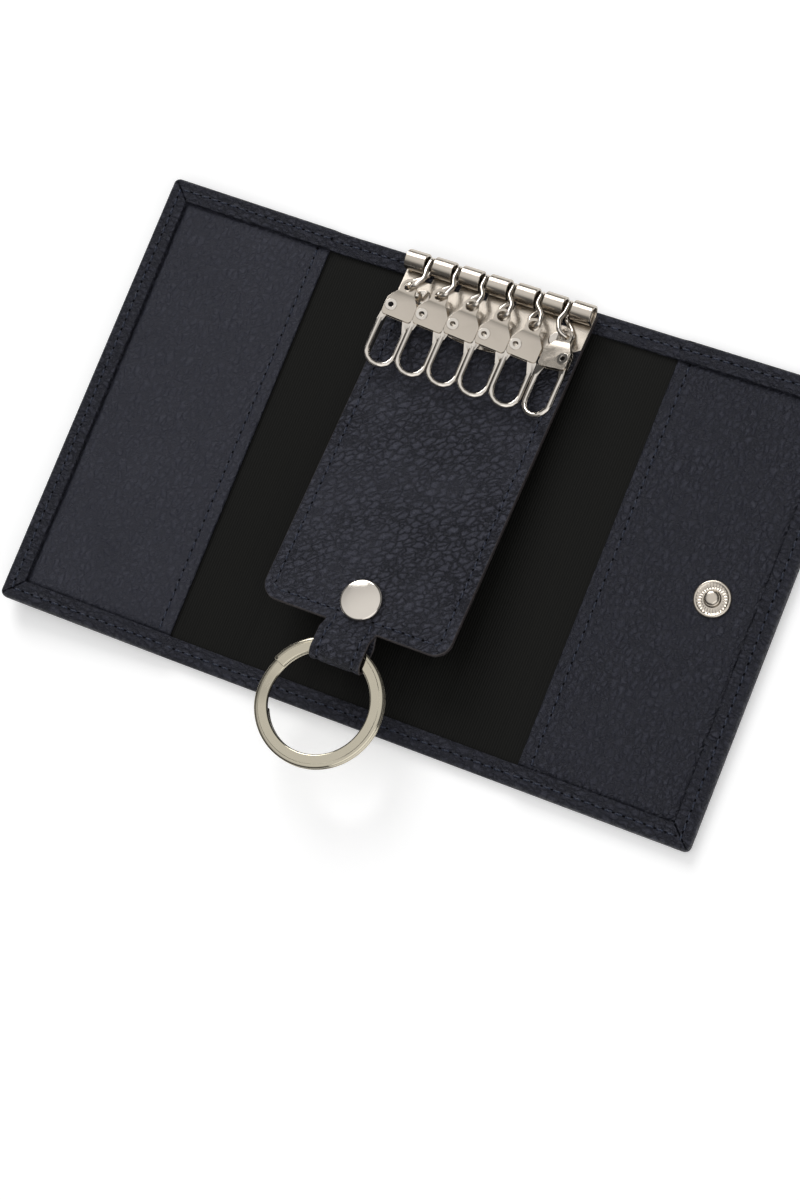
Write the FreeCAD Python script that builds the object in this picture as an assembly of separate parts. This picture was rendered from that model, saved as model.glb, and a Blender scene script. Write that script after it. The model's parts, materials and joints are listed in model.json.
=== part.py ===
import FreeCAD, Part
import math
import os

# Key case of two folding flaps round a centre panel, lying open, sizes in millimetres.
# X runs across the flaps, Y towards the key bar, Z up; the origin is under the middle of the centre panel.

# Case leather
case_height = 108.0
centre_width = 49.2
left_spine_width = 15.4
left_flap_width = 47.0
right_spine_width = 19.4
right_flap_width = 43.0
outer_leather = 1.1
lining_cloth = 0.4
pocket_leather = 0.9
pocket_width = 42.7
hem_width = 5.0
hem_leather = 0.9
hem_fold_clearance = 1.0
hem_lap = 0.8
cloth_clearance = 0.1
corner_radius = 1.5
left_flap_lift = 4.0

# Snap fasteners
stud_radius = 4.3
stud_flange = 0.6
stud_ball_radius = 1.7
stud_ball_height = 1.3
stud_flutes = 18
flute_width = 0.5
flute_depth = 0.3
flute_start = 2.5
snap_stem_radius = 1.0
snap_washer_radius = 3.6
socket_radius = 4.4
socket_bore_radius = 1.95
socket_flange = 0.8
socket_cup_wall = 0.4
socket_cup_depth = 1.0
socket_neck_radius = 2.5
closure_from_edge = 15.3

# Tongue
tongue_hinge_inset = 0.8
tongue_hinge_clearance = 0.1
tongue_lift = 6.1
tongue_root = 0.6
tongue_width = 46.8
tongue_end_margin = 19.4
tongue_leather = 0.8
tongue_corner_radius = 4.0
cap_from_end = 6.2
cap_radius = 4.9
cap_rim = 1.3
cap_dome = 0.3
cap_edge_radius = 0.8
tongue_socket_height = 1.8
tongue_socket_bore_depth = 1.5

# Ring loop at the end of the tongue and the split ring
tab_width = 12.6
tab_length = 9.6
tab_taper = 1.5
loop_cavity_radius = 1.75
loop_cavity_length = 4.2
loop_cavity_heel = 1.2
loop_cavity_heel_half = 1.1
ring_outer_radius = 15.0
ring_band = 3.2
ring_layer = 1.2
ring_layer_gap = 0.08
ring_ramp_angle = 34.0
ring_step_angle = 138.0
ring_edge_radius = 0.45
ring_end_clearance = 0.45
ring_droop = 5.0

# Key bar
bar_side_margin = 0.0
bar_from_hinge = 2.0
bar_sheet = 0.6
knuckle_radius = 2.4
knuckle_count = 7
knuckle_gap = 2.1
knuckle_slit_angle = 60.0
bar_notch_depth = 3.6
bar_end_depth = 8.0
bar_middle_depth = 15.2
rod_radius = 0.7
rod_end_length = 3.5
plate_rivet_spacing = 34.0
plate_rivet_depth = 7.4
plate_rivet_radius = 2.0
plate_rivet_shank = 1.2
plate_rivet_head = 0.4

# Key hooks, six alike, the last one turned over
hook_spread = 1.13
hook_roll = 15.0
hook_pitch = 2.3
hanger_length = 7.2
hanger_rise = 10.0
hanger_wire = 0.5
hanger_throat = 1.4
hanger_half_width = 1.6
hanger_straight = 2.2
hanger_wide_at = 4.4
hanger_bend = 1.5
hanger_hole_half = 1.5
hanger_hole_height = 1.4
hanger_hole_bend = 1.0
hanger_end_gap = 0.1
wire_sides = 8
wire_step_angle = 22.5
shortest_run = 0.001
tab_hole_radius = 1.2
tab_radius = 1.9
tab_sheet = 0.8
hook_side_gap = 0.5
cheek_shoulder = 4.2
cheek_bottom = 8.2
cheek_corner_radius = 0.9
cheek_sheet = 0.4
cheek_slot = 0.9
joggle_start = 1.9
joggle_end = 3.1
hook_rivet_inset = 1.5
hook_rivet_drop = 5.6
hook_rivet_radius = 0.9
hook_rivet_bore = 0.6
hook_rivet_head_radius = 1.4
hook_rivet_head = 0.15
pivot_clearance = 0.06
loop_wire = 0.6
loop_inset = 0.4
loop_bottom = 20.4
loop_flat = 0.75
loop_eye_radius = 1.5
loop_leg_top = 9.2
latch_leg_top = 10.4
latch_width = 2.2
latch_top = 7.0

# Levels and places worked out from the sizes above
lining_bottom = outer_leather
inner_face = outer_leather + lining_cloth
pocket_top = inner_face + pocket_leather
half_height = case_height / 2.0
half_centre = centre_width / 2.0
left_fold = -half_centre - left_spine_width
right_fold = half_centre + right_spine_width
left_edge = left_fold - left_flap_width
right_edge = right_fold + right_flap_width
left_pocket_edge = left_edge + pocket_width
right_pocket_edge = right_edge - pocket_width
cloth_half_height = half_height - hem_leather - cloth_clearance
closure_stud_x = right_edge - closure_from_edge
closure_landing = half_centre - (closure_stud_x - right_fold)
closure_socket_x = left_fold - (closure_landing + half_centre)

hinge_y = half_height - tongue_hinge_inset
hinge_z = inner_face + hem_leather + tongue_hinge_clearance
tongue_mid = hinge_z + tongue_leather
tongue_top = hinge_z + 2.0 * tongue_leather
tongue_end_y = tongue_end_margin - half_height
cap_y = tongue_end_y + cap_from_end
tab_end_y = tongue_end_y - tab_length
loop_radius = loop_cavity_radius + tongue_leather
loop_far_y = tab_end_y + loop_radius
loop_near_y = loop_far_y + loop_cavity_length
ring_inner_radius = ring_outer_radius - ring_band
ring_sag = ring_inner_radius - math.sqrt(ring_inner_radius ** 2 - (tab_width / 2.0) ** 2)
ring_y = loop_far_y - loop_cavity_radius + ring_end_clearance - (ring_inner_radius - ring_sag)
ring_swing_y = (loop_near_y + loop_far_y) / 2.0

rod_y = hinge_y - bar_from_hinge
rod_z = tongue_top + knuckle_radius
bar_length = tongue_width - 2.0 * bar_side_margin
knuckle_bore = knuckle_radius - bar_sheet
knuckle_length = (bar_length - (knuckle_count - 1) * knuckle_gap) / knuckle_count
knuckle_pitch = knuckle_length + knuckle_gap
hook_count = knuckle_count - 1
cheek_half = cheek_slot / 2.0 + cheek_sheet
cheek_width = knuckle_pitch * hook_spread - hook_side_gap
hook_rivet_offset = cheek_width / 2.0 - hook_rivet_inset
loop_half_width = cheek_width / 2.0 - loop_inset

up = FreeCAD.Vector(0, 0, 1)
across = FreeCAD.Vector(1, 0, 0)
along = FreeCAD.Vector(0, 1, 0)


def vec(x, y, z=0.0):
    return FreeCAD.Vector(x, y, z)


def box(x0, x1, y0, y1, z0, z1):
    return Part.makeBox(x1 - x0, y1 - y0, z1 - z0, vec(x0, y0, z0))


def disc(x, y, z0, z1, radius):
    return Part.makeCylinder(radius, z1 - z0, vec(x, y, z0))


def polygon(points):
    return Part.Face(Part.makePolygon(points + points[:1]))


def turned(x, y, profile):
    # A solid of revolution about the upright line through (x, y); profile holds (radius, height) pairs.
    points = [vec(x + radius, y, height) for radius, height in profile]
    return polygon(points).revolve(vec(x, y), up, 360)


def joined(shapes):
    return shapes[0].multiFuse(shapes[1:]).removeSplitter()


def rotation(axis, degrees, through):
    return FreeCAD.Placement(vec(0, 0), FreeCAD.Rotation(axis, degrees), through)


def moved(shape, placement):
    copy = shape.copy()
    copy.Placement = placement.multiply(copy.Placement)
    return copy


# Placements of the pieces that do not lie flat at rest
tongue_hinge = vec(0, hinge_y, hinge_z)
tongue_place = rotation(across, -tongue_lift, tongue_hinge)
left_fold_line = vec(left_fold, 0, inner_face)
left_flap_place = rotation(along, left_flap_lift, left_fold_line)
ring_swing = vec(0, ring_swing_y, tongue_mid)
ring_place = tongue_place.multiply(rotation(across, ring_droop, ring_swing))


def gap_x(index):
    return (index - (hook_count - 1) / 2.0) * knuckle_pitch


def hook_side(index):
    # The last hook hangs turned over, with its rivet on the right.
    return 1 if index == hook_count - 1 else -1


def hook_hole(index):
    reach = hanger_length * math.cos(math.radians(hanger_rise))
    climb = hanger_length * math.sin(math.radians(hanger_rise))
    return vec(gap_x(index) * hook_spread, rod_y - reach, rod_z + climb)


def hook_place(index):
    side = hook_side(index)
    lie = FreeCAD.Rotation(across, hook_pitch)
    lie = lie.multiply(FreeCAD.Rotation(along, -side * hook_roll))
    if side > 0:
        lie = lie.multiply(FreeCAD.Rotation(along, 180))
    return tongue_place.multiply(FreeCAD.Placement(hook_hole(index), lie))


# Panels
def panel_leather(x0, x1, hem_x0, hem_x1, hem_bottom):
    # A panel of outer leather, with its top and bottom edges turned in over what lies on it.
    hem_top = hem_bottom + hem_leather
    shapes = [box(x0, x1, -half_height, half_height, 0, outer_leather)]
    for side in (-1, 1):
        wall = sorted((side * (half_height - hem_leather), side * half_height))
        lip = sorted((side * (half_height - hem_width), side * half_height))
        shapes.append(box(hem_x0, hem_x1, wall[0], wall[1], 0, hem_top))
        shapes.append(box(hem_x0, hem_x1, lip[0], lip[1], hem_bottom, hem_top))
    return joined(shapes)


def rounded_flap(outer_x, inner_x):
    # The flap's outline, square at the fold and round at its two outer corners, as a tall prism.
    away = 1 if outer_x > inner_x else -1
    centre_x = outer_x - away * corner_radius
    centre_y = half_height - corner_radius
    bend = corner_radius * math.sqrt(0.5)
    edges = []
    top_arc = Part.Arc(
        vec(centre_x, half_height),
        vec(centre_x + away * bend, centre_y + bend),
        vec(outer_x, centre_y),
    )
    bottom_arc = Part.Arc(
        vec(outer_x, -centre_y),
        vec(centre_x + away * bend, -centre_y - bend),
        vec(centre_x, -half_height),
    )
    edges.append(Part.makeLine(vec(inner_x, half_height), vec(centre_x, half_height)))
    edges.append(top_arc.toShape())
    edges.append(Part.makeLine(vec(outer_x, centre_y), vec(outer_x, -centre_y)))
    edges.append(bottom_arc.toShape())
    edges.append(Part.makeLine(vec(centre_x, -half_height), vec(inner_x, -half_height)))
    edges.append(Part.makeLine(vec(inner_x, -half_height), vec(inner_x, half_height)))
    face = Part.Face(Part.Wire(edges))
    face.translate(vec(0, 0, -1))
    return face.extrude(vec(0, 0, pocket_top + hem_leather + 2))


def flap_leather(fold_x, outer_x, pocket_edge):
    # Outer leather of a flap: its hem rides over the pocket, and steps down where the pocket ends.
    away = 1 if outer_x > fold_x else -1
    hem_start = fold_x + away * hem_fold_clearance
    stepped = (pocket_edge - hem_start) * away > hem_lap
    high_start = pocket_edge - away * hem_lap if stepped else hem_start
    x0, x1 = sorted((fold_x, outer_x))
    high0, high1 = sorted((high_start, outer_x))
    shape = panel_leather(x0, x1, high0, high1, pocket_top)
    if stepped:
        low0, low1 = sorted((hem_start, pocket_edge))
        shape = shape.fuse(panel_leather(low0, low1, low0, low1, inner_face))
    wall = sorted((outer_x - away * hem_leather, outer_x))
    lip = sorted((outer_x - away * hem_width, outer_x))
    hem_top = pocket_top + hem_leather
    side_wall = box(wall[0], wall[1], -half_height, half_height, 0, hem_top)
    side_lip = box(lip[0], lip[1], -half_height, half_height, pocket_top, hem_top)
    shape = joined([shape, side_wall, side_lip])
    return shape.common(rounded_flap(outer_x, fold_x))


def flat_cloth(x0, x1, z0, z1):
    low, high = sorted((x0, x1))
    return box(low, high, -cloth_half_height, cloth_half_height, z0, z1)


def lining_hole(x, y):
    radius = snap_washer_radius + cloth_clearance
    return disc(x, y, lining_bottom, inner_face, radius)


def centre_leather():
    hem = half_centre - hem_fold_clearance
    return panel_leather(-half_centre, half_centre, -hem, hem, inner_face)


def centre_lining():
    cloth = flat_cloth(-half_centre, half_centre, lining_bottom, inner_face)
    return cloth.cut(lining_hole(0, cap_y))


def spine_leather(x0, x1):
    return panel_leather(x0, x1, x0 + hem_fold_clearance, x1 - hem_fold_clearance, inner_face)


def spine_lining(x0, x1):
    return flat_cloth(x0, x1, lining_bottom, inner_face)


def left_flap_leather():
    hole = disc(closure_socket_x, 0, 0, outer_leather, socket_neck_radius + cloth_clearance)
    return flap_leather(left_fold, left_edge, left_pocket_edge).cut(hole)


def left_flap_lining():
    cloth = flat_cloth(left_fold, left_edge + hem_leather + cloth_clearance, lining_bottom, inner_face)
    return cloth.cut(lining_hole(closure_socket_x, 0))


def left_pocket():
    return flat_cloth(left_pocket_edge, left_edge + hem_leather + cloth_clearance, inner_face, pocket_top)


def right_flap_leather():
    return flap_leather(right_fold, right_edge, right_pocket_edge)


def right_flap_lining():
    cloth = flat_cloth(right_fold, right_edge - hem_leather - cloth_clearance, lining_bottom, inner_face)
    return cloth.cut(lining_hole(closure_stud_x, 0))


def right_pocket():
    outer = right_edge - hem_leather - cloth_clearance
    cloth = flat_cloth(right_pocket_edge, outer, inner_face, pocket_top)
    return cloth.cut(disc(closure_stud_x, 0, inner_face, pocket_top, snap_stem_radius + cloth_clearance))


# Snap fasteners
def snap_stud(x, y, seat, stem_bottom):
    # A fluted flange with a ball-headed post on it and a stem down through the leather.
    flange_top = seat + stud_flange
    ball_top = flange_top + stud_ball_height
    neck = stud_ball_radius - 0.35
    profile = [
        (0, stem_bottom),
        (snap_stem_radius, stem_bottom),
        (snap_stem_radius, seat),
        (stud_radius, seat),
        (stud_radius, seat + stud_flange * 0.45),
        (stud_radius - 0.4, flange_top),
        (neck, flange_top),
        (stud_ball_radius, flange_top + stud_ball_height * 0.5),
        (stud_ball_radius - 0.2, ball_top - 0.25),
        (stud_ball_radius - 0.7, ball_top),
        (0, ball_top),
    ]
    shape = turned(x, y, profile)
    flutes = []
    for index in range(stud_flutes):
        half = flute_width / 2.0
        floor = flange_top - flute_depth
        cutter = box(flute_start, stud_radius + 1, -half, half, floor, flange_top + 0.01)
        cutter.rotate(vec(0, 0), up, 360.0 * index / stud_flutes)
        cutter.translate(vec(x, y))
        flutes.append(cutter)
    return shape.cut(Part.makeCompound(flutes))


def snap_washer(x, y, bore):
    return disc(x, y, lining_bottom, inner_face, snap_washer_radius).cut(
        disc(x, y, lining_bottom, inner_face, bore)
    )


def tongue_stud():
    return snap_stud(0, cap_y, inner_face, lining_bottom)


def tongue_stud_washer():
    return snap_washer(0, cap_y, snap_stem_radius)


def closure_stud():
    return snap_stud(closure_stud_x, 0, pocket_top, lining_bottom)


def closure_stud_washer():
    return snap_washer(closure_stud_x, 0, snap_stem_radius)


def closure_socket():
    # The cup stands in the leather and opens on the flap's outer side.
    profile = [
        (socket_bore_radius, -socket_flange),
        (socket_radius - 0.3, -socket_flange),
        (socket_radius, -socket_flange * 0.6),
        (socket_radius, 0),
        (socket_neck_radius, 0),
        (socket_neck_radius, socket_cup_depth),
        (snap_stem_radius, socket_cup_depth),
        (snap_stem_radius, inner_face),
        (0, inner_face),
        (0, socket_cup_depth - socket_cup_wall),
        (socket_bore_radius, socket_cup_depth - socket_cup_wall),
    ]
    return turned(closure_socket_x, 0, profile)


def closure_socket_washer():
    return snap_washer(closure_socket_x, 0, snap_stem_radius)


# Tongue
def tab_profile(radius, near_tip, near_half):
    # Side view of the ring loop: a round-ended slot that runs out to a wedge towards the tongue.
    middle = tongue_mid
    bottom = Part.makeLine(vec(0, near_tip, middle - near_half), vec(0, loop_near_y, middle - radius))
    under = Part.makeLine(vec(0, loop_near_y, middle - radius), vec(0, loop_far_y, middle - radius))
    end = Part.Arc(
        vec(0, loop_far_y, middle - radius),
        vec(0, loop_far_y - radius, middle),
        vec(0, loop_far_y, middle + radius),
    ).toShape()
    over = Part.makeLine(vec(0, loop_far_y, middle + radius), vec(0, loop_near_y, middle + radius))
    top = Part.makeLine(vec(0, loop_near_y, middle + radius), vec(0, near_tip, middle + near_half))
    closing = Part.makeLine(vec(0, near_tip, middle + near_half), vec(0, near_tip, middle - near_half))
    return Part.Face(Part.Wire([bottom, under, end, over, top, closing]))


def tab_prism(radius, near_tip, near_half, width):
    prism = tab_profile(radius, near_tip, near_half).extrude(vec(width, 0))
    prism.translate(vec(-width / 2.0, 0))
    return prism


def tongue_tab():
    tip = loop_near_y + loop_radius + tab_taper
    wedge = tab_prism(loop_radius, tip, tongue_leather, tab_width)
    heel = loop_near_y + loop_cavity_heel
    cavity = tab_prism(loop_cavity_radius, heel, loop_cavity_heel_half, tab_width + 2)
    return wedge, cavity


def tongue_outline(z):
    half = tongue_width / 2.0
    root = hinge_y - tongue_root
    r = tongue_corner_radius
    bend = r * math.sqrt(0.5)
    edges = [Part.makeLine(vec(-half, root, z), vec(half, root, z))]
    edges.append(Part.makeLine(vec(half, root, z), vec(half, tongue_end_y + r, z)))
    edges.append(Part.Arc(
        vec(half, tongue_end_y + r, z),
        vec(half - r + bend, tongue_end_y + r - bend, z),
        vec(half - r, tongue_end_y, z),
    ).toShape())
    edges.append(Part.makeLine(vec(half - r, tongue_end_y, z), vec(r - half, tongue_end_y, z)))
    edges.append(Part.Arc(
        vec(r - half, tongue_end_y, z),
        vec(r - half - bend, tongue_end_y + r - bend, z),
        vec(-half, tongue_end_y + r, z),
    ).toShape())
    edges.append(Part.makeLine(vec(-half, tongue_end_y + r, z), vec(-half, root, z)))
    return Part.Face(Part.Wire(edges))


def tongue_holes():
    depth = 2.0 * tongue_leather
    holes = [disc(0, cap_y, hinge_z, hinge_z + depth, snap_stem_radius + cloth_clearance)]
    for side in (-1, 1):
        x = side * plate_rivet_spacing / 2.0
        holes.append(disc(x, rod_y - plate_rivet_depth, hinge_z, hinge_z + depth, plate_rivet_shank))
    return Part.makeCompound(holes)


def tongue_front():
    wedge, cavity = tongue_tab()
    sheet = tongue_outline(tongue_mid).extrude(vec(0, 0, tongue_leather)).cut(tongue_holes())
    return moved(joined([sheet, wedge]).cut(cavity), tongue_place)


def tongue_back():
    wedge = tongue_tab()[0]
    sheet = tongue_outline(hinge_z).extrude(vec(0, 0, tongue_leather)).cut(tongue_holes())
    return moved(sheet.cut(wedge), tongue_place)


def tongue_cap():
    # A nearly flat cap with a rolled edge on the tongue's face, with its post down into the socket.
    rim_top = tongue_top + cap_rim
    dome_top = rim_top + cap_dome
    ball = (cap_radius ** 2 + cap_dome ** 2) / (2.0 * cap_dome)
    dome = Part.makeSphere(ball, vec(0, cap_y, dome_top - ball))
    rim = disc(0, cap_y, tongue_top, dome_top, cap_radius)
    post = disc(0, cap_y, hinge_z, tongue_top, snap_stem_radius)
    cap = rim.common(dome)
    shoulder = [edge for edge in cap.Edges if abs(edge.CenterOfMass.z - rim_top) < cap_dome / 2.0]
    cap = cap.makeFillet(cap_edge_radius, [edge for edge in shoulder if edge.Closed])
    return moved(joined([cap, post]), tongue_place)


def tongue_socket():
    bottom = hinge_z - tongue_socket_height
    bore_top = bottom + tongue_socket_bore_depth
    profile = [
        (0, bore_top),
        (socket_bore_radius, bore_top),
        (socket_bore_radius, bottom),
        (socket_radius - 1.3, bottom),
        (socket_radius - 0.9, bottom + 0.9),
        (socket_radius, hinge_z - 0.5),
        (socket_radius, hinge_z),
        (0, hinge_z),
    ]
    return moved(turned(0, cap_y, profile), tongue_place)


# Split ring
def ring_section(angle, z):
    # The band's section with softened edges, on the ray at this angle from the ring's centre.
    r = ring_edge_radius
    half = ring_layer / 2.0
    inner = ring_inner_radius
    outer = ring_outer_radius
    corners = [
        (inner + r, z - half),
        (outer - r, z - half),
        (outer, z - half + r),
        (outer, z + half - r),
        (outer - r, z + half),
        (inner + r, z + half),
        (inner, z + half - r),
        (inner, z - half + r),
    ]
    turn = math.radians(angle)
    points = [vec(a * math.cos(turn), a * math.sin(turn), b) for a, b in corners]
    return Part.makePolygon(points + points[:1])


def split_ring():
    # Two flat turns of one band, the lower climbing to the upper at the step.
    level = (ring_layer + ring_layer_gap) / 2.0
    start = ring_step_angle - ring_ramp_angle / 2.0
    finish = ring_step_angle + ring_ramp_angle / 2.0
    lower = Part.Face(ring_section(finish, -level)).revolve(vec(0, 0), up, 360.0 - ring_ramp_angle)
    upper = Part.Face(ring_section(finish, level)).revolve(vec(0, 0), up, 360.0 - ring_ramp_angle)
    steps = 6
    sections = []
    for step in range(steps + 1):
        share = step / steps
        ease = share * share * (3.0 - 2.0 * share)
        sections.append(ring_section(start + share * ring_ramp_angle, level * (2.0 * ease - 1.0)))
    ramp = Part.makeLoft(sections, True, True)
    ring = lower.multiFuse([ramp, upper])
    ring.translate(vec(0, ring_y, tongue_mid))
    return moved(ring, ring_place)


# Key bar
def key_plate():
    # One sheet: a flat plate with an arched lower edge, its top rolled round into a row of knuckles.
    low = tongue_top
    tube = Part.makeCylinder(knuckle_radius, bar_length, vec(-bar_length / 2.0, rod_y, rod_z), across)
    bore = Part.makeCylinder(knuckle_bore, bar_length, vec(-bar_length / 2.0, rod_y, rod_z), across)
    roll = tube.cut(bore)
    slit_top = rod_z - knuckle_radius * math.cos(math.radians(knuckle_slit_angle))
    slit = box(-bar_length, bar_length, rod_y - knuckle_radius - 1, rod_y, low + bar_sheet, slit_top)
    roll = roll.cut(slit)
    half = bar_length / 2.0
    side_y = rod_y - bar_end_depth
    sides = Part.makePolygon([
        vec(half, side_y, low),
        vec(half, rod_y, low),
        vec(-half, rod_y, low),
        vec(-half, side_y, low),
    ])
    arch = Part.Arc(
        vec(-half, side_y, low),
        vec(0, rod_y - bar_middle_depth, low),
        vec(half, side_y, low),
    ).toShape()
    plate = Part.Face(Part.Wire(sides.Edges + [arch])).extrude(vec(0, 0, bar_sheet))
    shape = joined([plate, roll])
    for index in range(hook_count):
        x = gap_x(index)
        notch = box(
            x - knuckle_gap / 2.0,
            x + knuckle_gap / 2.0,
            rod_y - bar_notch_depth,
            rod_y + knuckle_radius + 1,
            low - 1,
            rod_z + knuckle_radius + 1,
        )
        shape = shape.cut(notch)
    for side in (-1, 1):
        x = side * plate_rivet_spacing / 2.0
        shape = shape.cut(disc(x, rod_y - plate_rivet_depth, low, low + bar_sheet, plate_rivet_shank))
    return moved(shape, tongue_place)


def hinge_rod():
    # A thin rod with thicker ends that are pressed into the outer knuckles.
    half = bar_length / 2.0
    rod = Part.makeCylinder(rod_radius, bar_length, vec(-half, rod_y, rod_z), across)
    left = Part.makeCylinder(knuckle_bore, rod_end_length, vec(-half + 0.5, rod_y, rod_z), across)
    right = Part.makeCylinder(
        knuckle_bore, rod_end_length, vec(half - 0.5 - rod_end_length, rod_y, rod_z), across
    )
    ends = box(-half + 0.5, half - 0.5, rod_y - knuckle_radius, rod_y + knuckle_radius, 0, rod_z * 2.0)
    return moved(joined([rod.common(ends), left, right]), tongue_place)


def plate_rivets():
    rivets = []
    top = tongue_top + bar_sheet
    for side in (-1, 1):
        x = side * plate_rivet_spacing / 2.0
        y = rod_y - plate_rivet_depth
        profile = [
            (0, hinge_z - plate_rivet_head),
            (plate_rivet_radius, hinge_z - plate_rivet_head),
            (plate_rivet_radius, hinge_z),
            (plate_rivet_shank, hinge_z),
            (plate_rivet_shank, top),
            (plate_rivet_radius, top),
            (plate_rivet_radius - 0.3, top + plate_rivet_head),
            (0, top + plate_rivet_head),
        ]
        rivets.append(moved(turned(x, y, profile), tongue_place))
    return Part.makeCompound(rivets)


# Hangers and hooks
def rounded_path(corners):
    # Points along a wire: its two ends as they are, and an arc in short steps at each corner between them.
    path = [corners[0][0]]
    for index in range(1, len(corners) - 1):
        point, bend = corners[index]
        before = (point - corners[index - 1][0]).normalize()
        after = (corners[index + 1][0] - point).normalize()
        turn = before.getAngle(after)
        start = point - before * bend * math.tan(turn / 2.0)
        normal = before.cross(after).normalize()
        centre = start + normal.cross(before) * bend
        steps = max(1, round(math.degrees(turn) / wire_step_angle))
        for step in range(steps + 1):
            swing = FreeCAD.Rotation(normal, math.degrees(turn) * step / steps)
            path.append(centre + swing.multVec(start - centre))
    path.append(corners[-1][0])
    kept = [path[0]]
    for point in path[1:]:
        if (point - kept[-1]).Length > shortest_run:
            kept.append(point)
    return kept


def wire_tube(path, radius):
    # A solid wire of flat-sided section along the path, mitred from run to run.
    first = (path[1] - path[0]).normalize()
    sideways = first.cross(vec(1, 2, 3)).normalize()
    ring = []
    for side in range(wire_sides):
        turn = FreeCAD.Rotation(first, 360.0 * side / wire_sides)
        ring.append(path[0] + turn.multVec(sideways) * radius)
    rings = [ring]
    for index in range(1, len(path)):
        run = (path[index] - path[index - 1]).normalize()
        following = run
        if index + 1 < len(path):
            following = (path[index + 1] - path[index]).normalize()
        mitre = (run + following).normalize()
        shift = [run * ((path[index] - p).dot(mitre) / run.dot(mitre)) for p in ring]
        ring = [p + d for p, d in zip(ring, shift)]
        rings.append(ring)
    faces = [polygon(rings[0]), polygon(rings[-1])]
    for near, far in zip(rings, rings[1:]):
        for side in range(wire_sides):
            following = (side + 1) % wire_sides
            faces.append(polygon([near[side], near[following], far[following], far[side]]))
    solid = Part.makeSolid(Part.makeShell(faces))
    if solid.Volume < 0:
        solid.reverse()
    return solid


def hanger_arm(index, high):
    # Corners of one arm, from behind the rod through the gap, out to the side and to the hook's hole.
    side = -hook_side(index) * high
    lean = gap_x(index) * (hook_spread - 1.0)
    throat = hanger_throat
    route = [
        (0.0, -throat, throat, throat),
        (0.0, hanger_straight, throat, hanger_bend),
        (hanger_half_width, hanger_wide_at, throat, hanger_bend),
        (hanger_hole_half, hanger_length, hanger_hole_height, hanger_hole_bend),
    ]
    rise = math.radians(hanger_rise)
    corners = []
    for x, reach, height, bend in route:
        share = max(reach - hanger_straight, 0.0) / (hanger_length - hanger_straight)
        y = reach * math.cos(rise) - high * height * math.sin(rise)
        z = reach * math.sin(rise) + high * height * math.cos(rise)
        corners.append((vec(gap_x(index) + side * x + lean * share, rod_y - y, rod_z + z), bend))
    return corners


def hanger(index):
    # The wire's two ends meet in the hook's hole.
    upper = hanger_arm(index, 1)
    lower = hanger_arm(index, -1)
    middle = (upper[-1][0] + lower[-1][0]) * 0.5
    inward = (lower[-1][0] - upper[-1][0]).normalize() * (hanger_end_gap / 2.0)
    corners = [(middle - inward, 0)] + upper[::-1] + lower + [(middle + inward, 0)]
    return moved(wire_tube(rounded_path(corners), hanger_wire), tongue_place)


def hook_outline():
    # Plan of the folded sheet: a round-topped tab, sloping shoulders and a square foot with round corners.
    half = cheek_width / 2.0
    r = cheek_corner_radius
    bend = r * (1.0 - math.sqrt(0.5))
    slope = tab_radius * math.sqrt(0.5)
    edges = []
    edges.append(Part.Arc(vec(tab_radius, 0), vec(0, tab_radius), vec(-tab_radius, 0)).toShape())
    left = [
        vec(-tab_radius, 0),
        vec(-tab_radius, -slope),
        vec(-half, -cheek_shoulder),
        vec(-half, r - cheek_bottom),
    ]
    right = [vec(-p.x, p.y) for p in left]
    foot_left = Part.Arc(left[-1], vec(bend - half, bend - cheek_bottom), vec(r - half, -cheek_bottom))
    foot_right = Part.Arc(right[-1], vec(half - bend, bend - cheek_bottom), vec(half - r, -cheek_bottom))
    edges += Part.makePolygon(left).Edges
    edges.append(foot_left.toShape())
    edges.append(Part.makeLine(vec(r - half, -cheek_bottom), vec(half - r, -cheek_bottom)))
    edges.append(foot_right.toShape())
    edges += Part.makePolygon(right).Edges
    wire = Part.Wire(Part.__sortEdges__(edges))
    face = Part.Face(wire)
    face.translate(vec(0, 0, -cheek_width))
    return face.extrude(vec(0, 0, 2.0 * cheek_width))


def hook_side_profile():
    # Side view of the sheet: pressed flat at the tab, opened out into two cheeks below.
    top = tab_radius + 0.5
    thin = tab_sheet / 2.0
    slot = cheek_slot / 2.0
    wide = cheek_half
    outer = [
        (thin, top),
        (thin, -joggle_start),
        (wide, -joggle_end),
        (wide, -cheek_bottom),
        (slot, -cheek_bottom),
        (slot, -joggle_end - 0.4),
    ]
    mirror = [(-c, a) for c, a in reversed(outer)]
    points = [vec(-cheek_width, a, c) for c, a in outer + mirror]
    return polygon(points).extrude(vec(2.0 * cheek_width, 0))


def hook_body(index):
    shape = hook_side_profile().common(hook_outline())
    deep = 2.0 * cheek_half
    shape = shape.cut(disc(0, 0, -deep, deep, tab_hole_radius))
    shape = shape.cut(disc(-hook_rivet_offset, -hook_rivet_drop, -deep, deep, hook_rivet_radius))
    return moved(shape, hook_place(index))


def hook_rivet(index):
    # A hollow eyelet through both cheeks and the eye of the loop.
    top = cheek_half
    head = top + hook_rivet_head
    profile = [
        (hook_rivet_bore, -head),
        (hook_rivet_head_radius, -head),
        (hook_rivet_head_radius, -top),
        (hook_rivet_radius, -top),
        (hook_rivet_radius, top),
        (hook_rivet_head_radius, top),
        (hook_rivet_head_radius, head),
        (hook_rivet_bore, head),
    ]
    return moved(turned(-hook_rivet_offset, -hook_rivet_drop, profile), hook_place(index))


def loop_bow():
    half = loop_half_width
    foot = loop_wire - loop_bottom
    corners = [
        (vec(-half, -loop_leg_top), 0),
        (vec(-half, foot), half),
        (vec(half, foot), half),
        (vec(half, -latch_leg_top), 0),
    ]
    return wire_tube(rounded_path(corners), loop_wire)


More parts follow.
